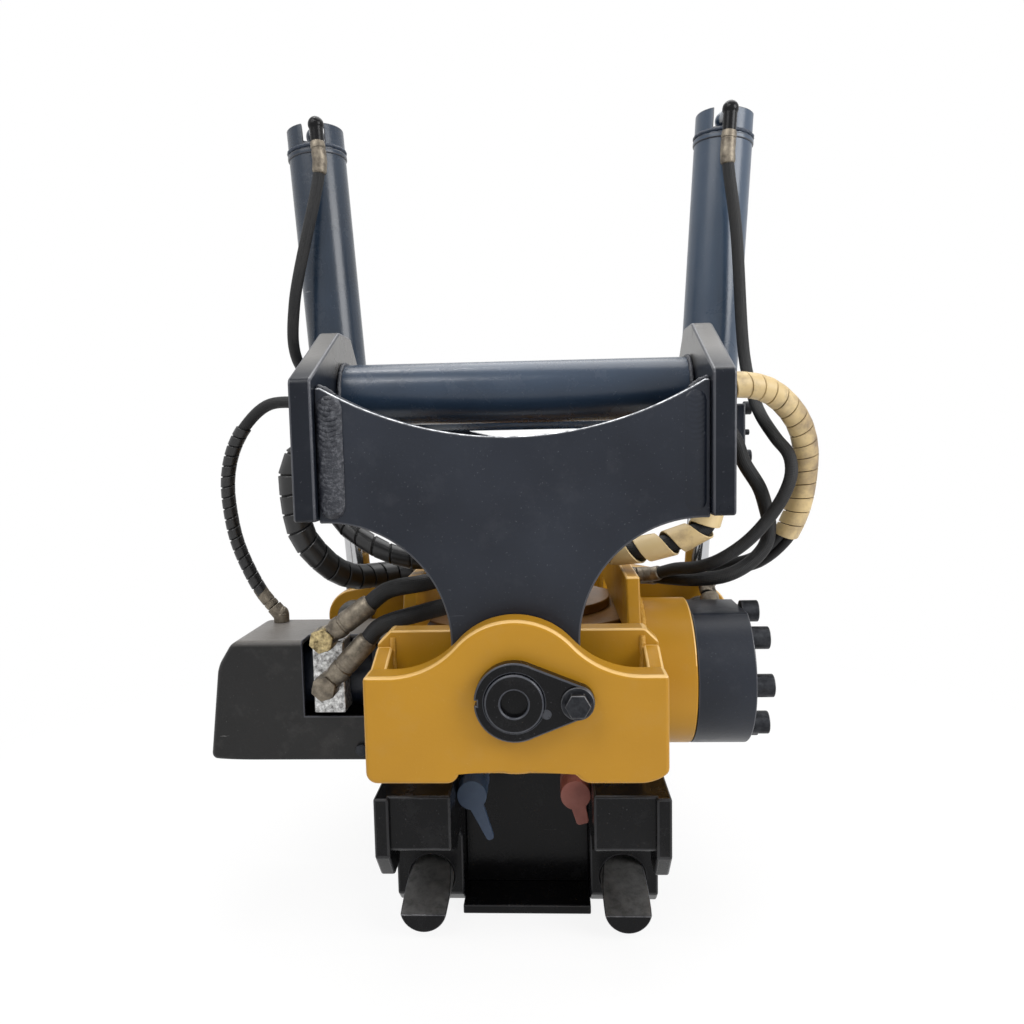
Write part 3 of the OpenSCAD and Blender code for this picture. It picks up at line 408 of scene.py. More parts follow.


# Rounded copies of the plates and castings: edge radius in mm, coat and edge finish; the lighter edge
# finishes are wear with a painted highlight
coatedNodes = {
    "side_plate_left": (2.2, "platePaint", "blackEdgeWornAndLit"),
    "side_plate_right": (2.2, "platePaint", "blackEdgeWornAndLit"),
    "lug_plate_front": (1.8, "blackPaint", "blackEdgeWornAndLit"),
    "lug_plate_rear": (1.8, "blackPaint", "blackEdgeWornAndLit"),
    "trunnion_blocks": (2.5, "blackPaint", "blackEdgeWornAndLit"),
    "hitch_bars": (1.5, "bluePaint", "blackEdgeWornAndLit"),
    "cheek_left": (2.5, "deepBlack", "hitchEdgeWornAndLit"),
    "cheek_right": (2.5, "deepBlack", "hitchEdgeWornAndLit"),
    "hitch_flange": (2, "deepBlack", "hitchEdgeWornAndLit"),
    "hitch_floor": (1.5, "deepBlack", "hitchEdgeWornAndLit"),
    "hitch_walls": (1.5, "deepBlack", "hitchEdgeWornAndLit"),
    "lock_plates": (1.5, "deepBlack", "blackEdgeWornAndLit"),
    "tilt_pins": (1.6, "deepBlack", "blackEdgeWornAndLit"),
    "end_cap": (1.5, "blackPaint", "blackEdgeWornAndLit"),
    "motor_guard": (1.4, "guardPaint", "blackEdgeWornAndLit"),
    "barrel_left": (1.3, "barrelPaint", "blackEdgeWornAndLit"),
    # the right barrel takes the lighter copy of the barrel paint, a painted highlight
    "barrel_right": (1.3, "highlitBarrelPaint", "blackEdgeWornAndLit"),
    "gland_left": (1.0, "blackPaint", "blackEdgeWornAndLit"),
    "gland_right": (1.0, "blackPaint", "blackEdgeWornAndLit"),
    "lock_wedges": (1.0, "wedgeSteel", "wornSteel"),
    "couplers": (0.8, "bareSteel", "bareSteel"),
    "port_block": (2, "silverBlock", "silverBlock"),
    "fork_plate_front": (4, "yellowPaint", "yellowEdgeWornAndLit"),
    "fork_plate_rear": (4, "yellowPaint", "yellowEdgeWornAndLit"),
    "cross_walls": (3, "yellowPaint", "yellowEdgeWornAndLit"),
    "fork_gussets": (2.5, "yellowPaint", "yellowEdgeWornAndLit"),
    "side_rails": (2.5, "yellowPaint", "yellowEdgeWornAndLit"),
    "cylinder_ears": (3, "yellowPaint", "yellowEdgeWornAndLit"),
    "gear_case": (2, "yellowPaint", "yellowEdgeWornAndLit"),
    # case cover and swivel: painted shade with grease
    "case_cover": (2, "greasyAndShadedYellow", "greasyAndShadedYellow"),
    "swivel_body": (1.5, "greasyAndShadedYellow", "greasyAndShadedYellow"),
    "housing_bolts": (0.9, "blackSteel", "wornSteel"),
    "lock_bolts": (0.9, "blackSteel", "wornSteel"),
    "trunnion_bolts": (1, "blackSteel", "wornSteel"),
    "port_elbows": (1, "ferruleSteel", "ferruleSteel"),
    "hose_fittings": (1, "ferruleSteel", "ferruleSteel"),
    "red_cap": (0.8, "redCap", "redCap"),
    "blue_cap": (0.8, "blueCap", "blueCap"),
}


# How edges are found and rounded: lengths in metres, angles in degrees
rounding = {"merge": 0.00006, "flat": 0.6, "long": 0.012, "straight": 0.999, "cornerAngle": 24,
            "cornerSteps": 6, "edgeAngle": 38, "edgeSteps": 3, "smooth": 32, "litEdgeUp": 0.3}
guardWindow = {"left": -0.3, "top": 0.29, "front": -0.1995}


def along(axis, low=0.0, high=1.0):
    # long edges that run one way, between two heights
    way = "XYZ".index(axis)

    def chosen(a, b):
        length = (b - a).length
        straight = abs(b[way] - a[way]) > rounding["straight"] * length
        return straight and length > rounding["long"] and low < a.z < high
    return chosen


def guardCorners(a, b):
    # the guard's outer corners, not the ends of its window
    return a.x < guardWindow["left"] and along("Y")(a, b)


def guardRim(a, b):
    # bend around the guard's front face, above and left of its window
    return all(v.y < guardWindow["front"] and (v.z > guardWindow["top"] or v.x < guardWindow["left"])
               for v in (a, b))


# Corners with a radius of their own in mm
outlineCorners = {
    "side_plate_left": [(4, along("X"))],
    "side_plate_right": [(4, along("X"))],
    "motor_guard": [(8, guardCorners), (6, guardRim)],
    "fork_plate_front": [(10, along("Y", 0.0, 0.23))],
    "fork_plate_rear": [(10, along("Y", 0.0, 0.23))],
}


def convexEdges(mesh, angle):
    # keys of the edges that stick out by more than an angle
    sides = {}
    for face in mesh.polygons:
        ring = list(face.vertices)
        for a, b in zip(ring, ring[1:] + ring[:1]):
            inward = face.normal.cross(mesh.vertices[b].co - mesh.vertices[a].co)
            sides.setdefault((min(a, b), max(a, b)), []).append((face.normal, inward))
    found = set()
    for key, pair in sides.items():
        if len(pair) == 2:
            (normal, inward), (other, _) = pair
            if other.dot(inward) < 0 and normal.angle(other) > math.radians(angle):
                found.add(key)
    return found


def roundCorners(piece, radius, chosen):
    mesh = piece.data
    sharp = convexEdges(mesh, rounding["cornerAngle"])
    for part in (mesh.vertices, mesh.edges, mesh.polygons):
        part.foreach_set("select", [False] * len(part))
    for edge in mesh.edges:
        ends = [mesh.vertices[v].co for v in edge.vertices]
        edge.select = edge.key in sharp and chosen(*ends)
    bpy.ops.object.mode_set(mode="EDIT")
    bpy.ops.mesh.bevel(offset=radius * mm, segments=rounding["cornerSteps"], affect="EDGES",
                       clamp_overlap=False)
    bpy.ops.object.mode_set(mode="OBJECT")


def roundedCopy(node, radius, coat, edgeCoat):
    piece = bpy.data.objects.new(node + "_coated", nodes[node].data.copy())
    bpy.context.scene.collection.objects.link(piece)
    wear(piece, coat, edgeCoat)
    pick(piece)
    bpy.ops.mesh.customdata_custom_splitnormals_clear()
    bpy.ops.object.mode_set(mode="EDIT")
    bpy.ops.mesh.select_mode(type="EDGE")
    bpy.ops.mesh.select_all(action="SELECT")
    bpy.ops.mesh.remove_doubles(threshold=rounding["merge"])
    bpy.ops.mesh.dissolve_limited(angle_limit=math.radians(rounding["flat"]))
    bpy.ops.object.mode_set(mode="OBJECT")
    for corner in outlineCorners.get(node, []):
        roundCorners(piece, *corner)
    sharp = convexEdges(piece.data, rounding["edgeAngle"])
    weights = piece.data.attributes.new("bevel_weight_edge", "FLOAT", "EDGE")
    weights.data.foreach_set("value", [1.0 if edge.key in sharp else 0.0 for edge in piece.data.edges])
    addModifier(piece, "BEVEL", width=radius * mm, segments=rounding["edgeSteps"], limit_method="WEIGHT",
                material=1, use_clamp_overlap=False)
    if edgeCoat == "yellowEdgeWornAndLit":
        # painted highlight: only edges that face up keep the pale edge coat, as if lit from above
        for face in piece.data.polygons:
            if face.material_index == 1 and face.normal.z < rounding["litEdgeUp"]:
                face.material_index = 0
    smoothShade(piece, rounding["smooth"])
    addModifier(piece, "WEIGHTED_NORMAL", keep_sharp=True, weight=100)
    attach(piece, bodyOfNode[node])
    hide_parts(node)


for node, look in coatedNodes.items():
    roundedCopy(node, *look)
print("plates and castings rounded:", len(coatedNodes))

# Faces with a third finish: limits of a face's direction, and of its middle in metres
wedgeEnd = {"front": -0.98}
rubbedLitEdge = {"up": 0.3, "across": 0.25, "low": 0.50}
portElbow = {"front": -0.0368, "low": 0.86}


def onWedgeEnd(face):
    return face.normal.y < wedgeEnd["front"]


def onRubbedLitEdge(face):
    # the lug plates' top edges that face up: rubbed bare, and a painted highlight
    upper = face.material_index == 1 and face.center.z > rubbedLitEdge["low"]
    return upper and face.normal.z > rubbedLitEdge["up"] and abs(face.normal.y) > rubbedLitEdge["across"]


def onPortElbow(face):
    # the barrels' port elbows stand in front of the tube
    return face.center.y < portElbow["front"] and face.center.z > portElbow["low"]


patches = {
    "lock_wedges": ("deepBlack", onWedgeEnd),
    "lug_plate_front": ("wornAndLitEdge", onRubbedLitEdge),
    "lug_plate_rear": ("wornAndLitEdge", onRubbedLitEdge),
    "barrel_left": ("deepBlack", onPortElbow),
    "barrel_right": ("deepBlack", onPortElbow),
}
for node, (skin, chosen) in patches.items():
    piece = bpy.data.objects[node + "_coated"]
    piece.data.materials.append(finish[skin])
    for face in piece.data.polygons:
        if chosen(face):
            face.material_index = 2

# Solids that keep their own surface, by material slot
plainFinish = {
    "black_paint": "blackPaint", "yellow_paint": "yellowPaint", "bare_steel": "bareSteel",
    "black_steel": "blackSteel", "hard_chrome": "chromeRod", "bronze": "bronze",
    "red_plastic": "redCap", "blue_plastic": "blueCap", "black_rubber": "hoseRubber",
    "yellow_wrap": "paleWrap",
}
for node, solid in nodes.items():
    wear(solid, plainFinish[slotOfNode[node]])
    smoothShade(solid, rounding["smooth"])


# Sizes that all hoses share, in metres
hoseSizes = {"step": 0.006, "wrapThick": 0.0017, "pairGap": 0.0002, "sleeve": 0.030}

# Hoses: routes in metres, from fitting to fitting; grip names two bodies and two heights, which nothing
# reads, and a hose with a grip is left unattached
hoses = {
    "cylinderHoseLeft": {
        "node": "hose_cylinder_left", "sleeves": ("start", "end"), "lead": 0.008, "radius": 0.007,
        "grip": ("barrel_left", "top_hitch", 0.82, 0.60),
        "route": [(-0.238, -0.052, 0.872), (-0.2367, -0.052, 0.852), (-0.277, -0.046, 0.69),
                  (-0.285, -0.025, 0.632), (-0.277, 0.032, 0.598), (-0.246, 0.092, 0.566),
                  (-0.224, 0.105, 0.56), (-0.206, 0.105, 0.56)]},
    "cylinderHoseRight": {
        "node": "hose_cylinder_right", "sleeves": ("start", "end"), "lead": 0.008, "radius": 0.007,
        "splitAt": 0.60, "grip": ("barrel_right", "top_hitch", 0.82, 0.64),
        "lowerGrip": ("housing", "top_hitch", 0.375, 0.56),
        "route": [(0.249, -0.052, 0.866), (0.2477, -0.052, 0.846), (0.258, -0.052, 0.761),
                  (0.267, -0.058, 0.61), (0.272, -0.082, 0.562), (0.276, -0.1, 0.54),
                  (0.288, -0.118, 0.514), (0.297, -0.136, 0.496), (0.297, -0.146, 0.476),
                  (0.289, -0.15, 0.454), (0.272, -0.15, 0.427), (0.247, -0.152, 0.401),
                  (0.217, -0.15, 0.381), (0.196, -0.138, 0.372), (0.175, -0.122, 0.368),
                  (0.15, -0.1, 0.358), (0.132, -0.1, 0.358)]},
    "loopHoseLeft": {
        "node": "hose_loop_left", "sleeves": ("start", "end"), "radius": 0.008, "core": 0.0064,
        "grip": ("housing", "top_hitch", 0.335, 0.55),
        "wrap": {"finish": "blackWrap", "pitch": 0.0125, "width": 0.0112, "start": 0.115, "end": 0.325},
        "route": [(-0.206, -0.165, 0.563), (-0.226, -0.165, 0.563), (-0.278, -0.15, 0.563),
                  (-0.309, -0.14, 0.541), (-0.329, -0.132, 0.512), (-0.339, -0.126, 0.477),
                  (-0.34, -0.119, 0.437), (-0.336, -0.112, 0.402), (-0.323, -0.107, 0.364),
                  (-0.3111, -0.104, 0.3399), (-0.2998, -0.104, 0.3259)]},
    "bundleHoseLeft": {
        "node": "hose_bundle_left", "radius": 0.015, "core": 0.0128,
        "grip": ("housing", "top_hitch", 0.365, 0.50),
        "wrap": {"finish": "blackWrap", "pitch": 0.0215, "width": 0.0195, "start": 0.003, "end": 0.36},
        "route": [(-0.206, -0.19, 0.514), (-0.226, -0.19, 0.514), (-0.242, -0.187, 0.49),
                  (-0.245, -0.18, 0.464), (-0.242, -0.165, 0.418), (-0.227, -0.15, 0.39),
                  (-0.214, -0.13, 0.372), (-0.199, -0.106, 0.361), (-0.18, -0.078, 0.358),
                  (-0.154, -0.062, 0.358), (-0.132, -0.062, 0.358)]},
    "tiltHoseLeft": {
        "node": "hose_tilt_left", "radius": 0.011, "core": 0.0092,
        "grip": ("housing", "top_hitch", 0.395, 0.49),
        "wrap": {"finish": "blackWrap", "pitch": 0.0205, "width": 0.0186, "start": 0.01, "end": 0.26},
        "route": [(-0.213, -0.15, 0.496), (-0.213, -0.15, 0.47), (-0.207, -0.146, 0.438),
                  (-0.196, -0.145, 0.423), (-0.178, -0.15, 0.411), (-0.158, -0.152, 0.399),
                  (-0.139, -0.15, 0.391), (-0.118, -0.142, 0.385), (-0.092, -0.112, 0.385),
                  (-0.071, -0.071, 0.388), (-0.053, -0.053, 0.388)]},
    "motorHoseUpper": {
        "node": "hose_motor_upper", "sleeves": ("end",), "radius": 0.009, "body": "housing",
        "route": [(-0.158, -0.219, 0.35), (-0.138, -0.219, 0.3647), (-0.1, -0.218, 0.372),
                  (-0.07, -0.185, 0.374), (-0.05, -0.142, 0.364), (-0.034, -0.1046, 0.352),
                  (-0.0232, -0.0713, 0.352)]},
    "motorHoseLower": {
        "node": "hose_motor_lower", "sleeves": ("end",), "radius": 0.009, "body": "housing",
        "route": [(-0.16, -0.225, 0.313), (-0.146, -0.225, 0.328), (-0.1, -0.222, 0.342),
                  (-0.06, -0.195, 0.347), (-0.024, -0.152, 0.347), (0, -0.11, 0.352),
                  (0, -0.075, 0.352)]},
    "bundleHoseRight": {
        "node": "hose_bundle_right", "sleeves": ("end",), "radius": 0.014, "pair": 0.0062,
        "grip": ("housing", "top_hitch", 0.345, 0.565),
        "wrap": {"finish": "paleWrap", "pitch": 0.0158, "width": 0.0149, "start": 0.004, "end": 0.262},
        "route": [(0.206, -0.165, 0.572), (0.23, -0.165, 0.572), (0.251, -0.158, 0.571),
                  (0.273, -0.148, 0.565), (0.294, -0.138, 0.55), (0.311, -0.128, 0.529),
                  (0.32, -0.12, 0.503), (0.321, -0.115, 0.475), (0.317, -0.112, 0.443),
                  (0.31, -0.108, 0.419), (0.3, -0.102, 0.398), (0.276, -0.086, 0.372),
                  (0.24, -0.062, 0.356), (0.222, -0.06, 0.343), (0.222, -0.0757, 0.3273)]},
    "innerHoseRight": {
        "node": "hose_inner_right", "sleeves": ("start", "end"), "radius": 0.008,
        "grip": ("housing", "top_hitch", 0.36, 0.53),
        "route": [(0.206, -0.135, 0.536), (0.22, -0.135, 0.536), (0.238, -0.135, 0.515),
                  (0.249, -0.132, 0.488), (0.268, -0.125, 0.459), (0.276, -0.12, 0.438),
                  (0.281, -0.118, 0.415), (0.277, -0.118, 0.393), (0.258, -0.122, 0.373),
                  (0.231, -0.126, 0.36), (0.2, -0.12, 0.355), (0.17, -0.098, 0.353),
                  (0.148, -0.072, 0.352), (0.132, -0.072, 0.352)]},
    "tiltHoseRight": {
        "node": "hose_tilt_right", "radius": 0.015, "core": 0.0105,
        "grip": ("housing", "top_hitch", 0.40, 0.49),
        "wrap": {"finish": "paleWrap", "pitch": 0.0365, "width": 0.0275, "start": 0.01, "end": 0.27},
        "route": [(0.213, -0.15, 0.496), (0.213, -0.15, 0.472), (0.211, -0.154, 0.442),
                  (0.198, -0.16, 0.418), (0.173, -0.16, 0.406), (0.146, -0.158, 0.398),
                  (0.115, -0.148, 0.392), (0.092, -0.116, 0.389), (0.074, -0.074, 0.388),
                  (0.053, -0.053, 0.388)]},
}


def smoothRoute(route, step, perLeg=24, least=12):
    # curve through the points, then points at an even spacing along it
    points = [Vector(p) for p in route]
    points = [2 * points[0] - points[1]] + points + [2 * points[-1] - points[-2]]
    dense = []
    for a, b, c, d in zip(points, points[1:], points[2:], points[3:]):
        ta = 0.0
        tb = ta + (b - a).length ** 0.5
        tc = tb + (c - b).length ** 0.5
        td = tc + (d - c).length ** 0.5
        for k in range(perLeg):
            t = tb + (tc - tb) * k / perLeg
            ab = a * ((tb - t) / (tb - ta)) + b * ((t - ta) / (tb - ta))
            bc = b * ((tc - t) / (tc - tb)) + c * ((t - tb) / (tc - tb))
            cd = c * ((td - t) / (td - tc)) + d * ((t - tc) / (td - tc))
            abc = ab * ((tc - t) / (tc - ta)) + bc * ((t - ta) / (tc - ta))
            bcd = bc * ((td - t) / (td - tb)) + cd * ((t - tb) / (td - tb))
            dense.append(abc * ((tc - t) / (tc - tb)) + bcd * ((t - tb) / (tc - tb)))
    dense.append(points[-2])
    run = [0.0]
    for p, q in zip(dense, dense[1:]):
        run.append(run[-1] + (q - p).length)
    count = max(least, round(run[-1] / step))
    even = []
    k = 0
    for i in range(count + 1):
        s = run[-1] * i / count
        while k < len(run) - 2 and run[k + 1] < s:
            k += 1
        even.append(dense[k].lerp(dense[k + 1], (s - run[k]) / (run[k + 1] - run[k])))
    return even


# A direction that no route starts in
sideStart = Vector((0.31, 0.9, 0.3))


class Run:
    # a route with a frame at each point that follows it without twisting
    def __init__(self, points):
        self.points = points
        self.reach = [0.0]
        for p, q in zip(points, points[1:]):
            self.reach.append(self.reach[-1] + (q - p).length)
        last = len(points) - 1
        self.along = []
        for i in range(last + 1):
            self.along.append((points[min(i + 1, last)] - points[max(i - 1, 0)]).normalized())
        side = self.along[0].cross(sideStart).normalized()
        self.side = []
        for t in self.along:
            side = (side - t * side.dot(t)).normalized()
            self.side.append(side)

    def at(self, s):
        # place and frame at a length along the run, which goes straight on before its start
        if s < 0:
            t, u = self.along[0], self.side[0]
            return self.points[0] + t * s, t, u, t.cross(u)
        s = min(s, self.reach[-1])
        i = 0
        while i < len(self.reach) - 2 and self.reach[i + 1] < s:
            i += 1
        f = (s - self.reach[i]) / (self.reach[i + 1] - self.reach[i])
        t = self.along[i].lerp(self.along[i + 1], f).normalized()
        u = self.side[i].lerp(self.side[i + 1], f)
        u = (u - t * u.dot(t)).normalized()
        return self.points[i].lerp(self.points[i + 1], f), t, u, t.cross(u)

    def on(self, s, angle, radius):
        p, t, u, v = self.at(s)
        return p + (u * math.cos(angle) + v * math.sin(angle)) * radius


def sweep(name, run, radii, sides=20):
    # round skin along a run, with a map of its length and turn for a hose cover's print
    points, faces, marks = [], [], []
    for i, radius in enumerate(radii):
        p, t, u = run.points[i], run.along[i], run.side[i]
        v = t.cross(u)
        for k in range(sides):
            a = 2 * math.pi * k / sides
            points.append(p + (u * math.cos(a) + v * math.sin(a)) * radius)
    for i in range(len(run.points) - 1):
        for k in range(sides):
            j = (k + 1) % sides
            faces.append((i * sides + k, i * sides + j, (i + 1) * sides + j, (i + 1) * sides + k))
            low, high = run.reach[i], run.reach[i + 1]
            marks += [(low, k / sides), (low, (k + 1) / sides), (high, (k + 1) / sides), (high, k / sides)]
    end = (len(run.points) - 1) * sides
    faces.append(tuple(reversed(range(sides))))
    faces.append(tuple(range(end, end + sides)))
    marks += [(0.0, 0.0)] * (2 * sides)
    piece = meshPiece(name, points, faces)
    layer = piece.data.uv_layers.new(name="run")
    for spot, mark in zip(layer.data, marks):
        spot.uv = mark
    smoothShade(piece, 50)
    return piece


def spiralWrap(name, run, inner, outer, wrap):
    # flat strip wound round a run: six corners of the strip's section at each step of the turn
    half, edge = wrap["width"] / 2, 0.0006
    section = [(-half, inner), (-half, outer - edge), (-half + edge, outer), (half - edge, outer),
               (half, outer - edge), (half, inner)]
    steps = 22
    end = min(wrap["end"], run.reach[-1] - half)
    count = int((end - wrap["start"] - half) / wrap["pitch"] * steps)
    points, faces = [], []
    for i in range(count + 1):
        s = wrap["start"] + half + i * wrap["pitch"] / steps
        turn = 2 * math.pi * i / steps
        points += [run.on(s + a, turn, r) for a, r in section]
    n = len(section)
    for i in range(count):
        for k in range(n):
            j = (k + 1) % n
            faces.append((i * n + k, i * n + j, (i + 1) * n + j, (i + 1) * n + k))
    faces.append(tuple(reversed(range(n))))
    faces.append(tuple(range(count * n, count * n + n)))
    piece = meshPiece(name, points, faces)
    faceOut(piece)
    smoothShade(piece, 40)
    wear(piece, wrap["finish"])
    return piece


# Crimped sleeve: place along it as a share of its length, and radius as a share of the hose's
crimp = [(0, 0.9), (0.02, 1.18), (0.08, 1.26), (0.22, 1.26), (0.24, 1.16), (0.28, 1.16), (0.30, 1.26),
         (0.62, 1.24), (0.90, 1.24), (0.97, 1.16), (1, 1.0)]


def crimpSleeve(name, run, start, end, radius):
    stops = [start + (end - start) * share for share, size in crimp]
    piece = sweep(name, Run([run.at(s)[0] for s in stops]), [radius * size for share, size in crimp], 24)
    smoothShade(piece, 30)
    wear(piece, "ferruleSteel")
    return piece


def follow(piece, hose, grip="grip"):
    # hose pieces ride on one body, or, with a grip, only have their transform baked in place
    if grip in hose:
        a, b, low, high = hose[grip]
        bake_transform(piece)
    else:
        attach(piece, hose["body"])


def declare(run, radius):
    tuple(run.points[0])
    2 * radius
    [tuple(p) for p in run.points]


def makeHose(name, hose):
    run = Run(smoothRoute(hose["route"], hoseSizes["step"]))
    extras = []
    if "wrap" in hose:
        inner = hose["radius"] - hoseSizes["wrapThick"]
        coil = spiralWrap(name + "Wrap", run, inner, hose["radius"], hose["wrap"])
        follow(coil, hose)
        extras = [coil]
    strands = []
    if "pair" in hose:
        for tag, sign in (("Near", 1), ("Far", -1)):
            side = [p + u * (sign * hose["pair"]) for p, u in zip(run.points, run.side)]
            strands.append((name + tag, Run(side), hose["pair"] - hoseSizes["pairGap"], "grip"))
    elif "splitAt" in hose:
        cut = next(i for i, p in enumerate(run.points) if p.z < hose["splitAt"])
        strands.append((name + "Upper", Run(run.points[:cut + 1]), hose["radius"], "grip"))
        strands.append((name + "Lower", Run(run.points[cut:]), hose["radius"], "lowerGrip"))
    else:
        strands.append((name, run, hose.get("core", hose["radius"]), "grip"))
    for i, (strand, path, radius, grip) in enumerate(strands):
        piece = sweep(strand, path, [radius] * len(path.points))
        wear(piece, "hoseRubber")
        follow(piece, hose, grip)
        carried = list(extras) if i == 0 else []
        for end in hose.get("sleeves", ()):
            if "splitAt" in hose and (end == "start") != (i == 0):
                continue
            near, far = -hose.get("lead", 0.0), hoseSizes["sleeve"]
            if end == "end":
                near, far = path.reach[-1], path.reach[-1] - hoseSizes["sleeve"]
            sleeve = crimpSleeve(strand + end.title() + "Sleeve", path, near, far, radius)
            follow(sleeve, hose, grip)
            carried.append(sleeve)
        declare(path, radius)
        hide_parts(hose["node"])
    print("hose", name, round(run.reach[-1], 3), "m")


for name, hose in hoses.items():
    makeHose(name, hose)


# Weld beads: swept skins that swell at each ripple; low, swell and scatter are shares of the radius
beadForm = {"step": 0.0011, "low": 0.84, "swell": 0.2, "scatter": 0.07, "sides": 14}


def weldBead(name, route, weld, coat, body, seed):
    run = Run(smoothRoute(route, beadForm["step"]))
    dice = random.Random(seed)
    radii = []
    for s in run.reach:
        swell = beadForm["swell"] * abs(math.sin(math.pi * s / weld["ripple"]))
        scatter = dice.uniform(-beadForm["scatter"], beadForm["scatter"])
        radii.append(weld["bead"] * (beadForm["low"] + swell + scatter))
    piece = sweep(name, run, radii, beadForm["sides"])
    wear(piece, coat)
    placePiece(piece, body)


def ringRoute(centre, radius, across=(0, 1, 0), upward=(0, 0, 1), steps=28):
    # one closed turn about a centre, in the plane of two directions
    route = []
    for k in range(steps + 1):
        a = 2 * math.pi * k / steps
        out = Vector(across) * (radius * math.cos(a)) + Vector(upward) * (radius * math.sin(a))
        route.append(Vector(centre) + out)
    return route


barWelds = {"x": 0.1675, "y": 0.24, "z": 0.565, "radius": 0.0305, "bead": 0.0022, "ripple": 0.012}
collarWelds = {"x": 0.231, "z": 0.522, "lean": 3.61, "radius": 0.0346,
               "rings": {"collarRing": {"up": 0.355, "bead": 0.0017, "ripple": 0.011},
                         "collarWeld": {"up": 0.3615, "bead": 0.0023, "ripple": 0.011}}}
gussetWelds = {"x": 0.1148, "y": 0.3128, "low": 0.24, "high": 0.338, "bead": 0.0028, "ripple": 0.02}
drumWeld = {"x": 0.1285, "y": -0.145, "z": 0.258, "radius": 0.0802, "bead": 0.0042, "ripple": 0.012}
tipWelds = {"x": 0.1695, "y": 0.337, "z": 0.5672, "run": 0.015, "drop": 0.0085, "bead": 0.003,
            "ripple": 0.005}
sides = ((-1, "Left"), (1, "Right"))
ends = ((-1, "Front"), (1, "Rear"))


def barWeld(side, end, place):
    w = barWelds
    route = ringRoute((side * w["x"], end * w["y"], w["z"]), w["radius"])
    weldBead("barWeld" + place, route, w, "blackWeld", "top_hitch", side + 3 * end)


def gussetWeld(side, end, place):
    w = gussetWelds
    middle = (w["low"] + w["high"]) / 2
    route = [(side * w["x"], end * w["y"], z) for z in (w["low"], middle, w["high"])]
    weldBead("gussetWeld" + place, route, w, "yellowWeld", "housing", side + 5 * end)


def tipWeld(side, end, place):
    # dips as it goes inwards
    w = tipWelds
    route = [(side * (w["x"] - w["run"] * far), end * w["y"], w["z"] - w["drop"] * down)
             for far, down in ((0, 0), (1 / 2, 1 / 3), (1, 1))]
    weldBead("tipWeld" + place, route, w, "blackWeld", "top_hitch", side + 7 * end)


def collarWeld(side, tag):
    # rings about the leaning barrel
    w = collarWelds
    lean = math.radians(w["lean"]) * side
    across = (math.cos(lean), 0, -math.sin(lean))
    for name, ring in w["rings"].items():
        centre = (side * w["x"] + ring["up"] * math.sin(lean), 0, w["z"] + ring["up"] * math.cos(lean))
        route = ringRoute(centre, w["radius"], across, (0, 1, 0))
        weldBead(name + tag, route, ring, "blueWeld", "barrel_" + tag.lower(), side + 11)


def addWelds():
    for side, tag in sides:
        for end, endTag in ends:
            barWeld(side, end, tag + endTag)
            gussetWeld(side, end, tag + endTag)
            tipWeld(side, end, tag + endTag)
        collarWeld(side, tag)
    w = drumWeld
    route = ringRoute((w["x"], w["y"], w["z"]), w["radius"])
    weldBead("drumWeld", route, w, "yellowWeld", "housing", 17)


# Fillet welds that fill the corner of each lug plate and side plate, the left ones rough at their tops
filletWelds = {"x": 0.1672, "face": 0.345, "top": 0.5575, "bottom": 0.4535, "width": 0.0195, "lift": 0.0042,
               "ripple": 0.0045, "chevron": 0.007, "wave": 0.0007, "scatter": 0.0006, "sink": 0.0005,
               "thick": 0.002, "roughTop": 0.42, "calm": 0.3, "columns": 20, "rows": 120}


def filletWeld(name, side, end, rough):
    w = filletWelds
    dice = random.Random(name)
    columns, rows = w["columns"], w["rows"]
    length, half = w["top"] - w["bottom"], w["width"] / 2
    points, faces = [], []
    for j in range(rows + 1):
        down = j / rows
        fromEnd = min(down, 1 - down) * length
        spread = 1.0 if fromEnd > half else max(0.02, 1 - (1 - fromEnd / half) ** 2) ** 0.5
        wild = rough * (1.0 if down < w["roughTop"] else w["calm"])
        for i in range(columns + 1):
            u = i / columns
            dome = math.sin(math.pi * u) ** 0.6
            z = w["top"] - length * down
            wave = w["wave"] * math.sin(2 * math.pi * (z + w["chevron"] * dome) / w["ripple"])
            lump = wild * (wave + dice.uniform(-w["scatter"], w["scatter"])) * dome
            high = w["lift"] * (0.3 + 0.7 * rough) * dome * spread + lump - w["sink"]
            across = w["x"] - half + half * (1 - 2 * u) * spread
            points.append((side * across, end * (w["face"] + high), z))
    for j in range(rows):
        for i in range(columns):
            a = j * (columns + 1) + i
            faces.append((a, a + 1, a + columns + 2, a + columns + 1))
    piece = meshPiece(name, points, faces)
    faceOut(piece, turned=piece.data.polygons[0].normal.y * end < 0)
    addModifier(piece, "SOLIDIFY", thickness=w["thick"], offset=-1)
    smoothShade(piece, 60)
    wear(piece, "blackWeld" if rough > 0.5 else "blackPaint")
    placePiece(piece, "top_hitch")


addWelds()
for side, tag in sides:
    for end, endTag in ends:
        filletWeld("filletWeld" + tag + endTag, side, end, 1.0 if side < 0 else filletWelds["calm"])
print("welds laid")

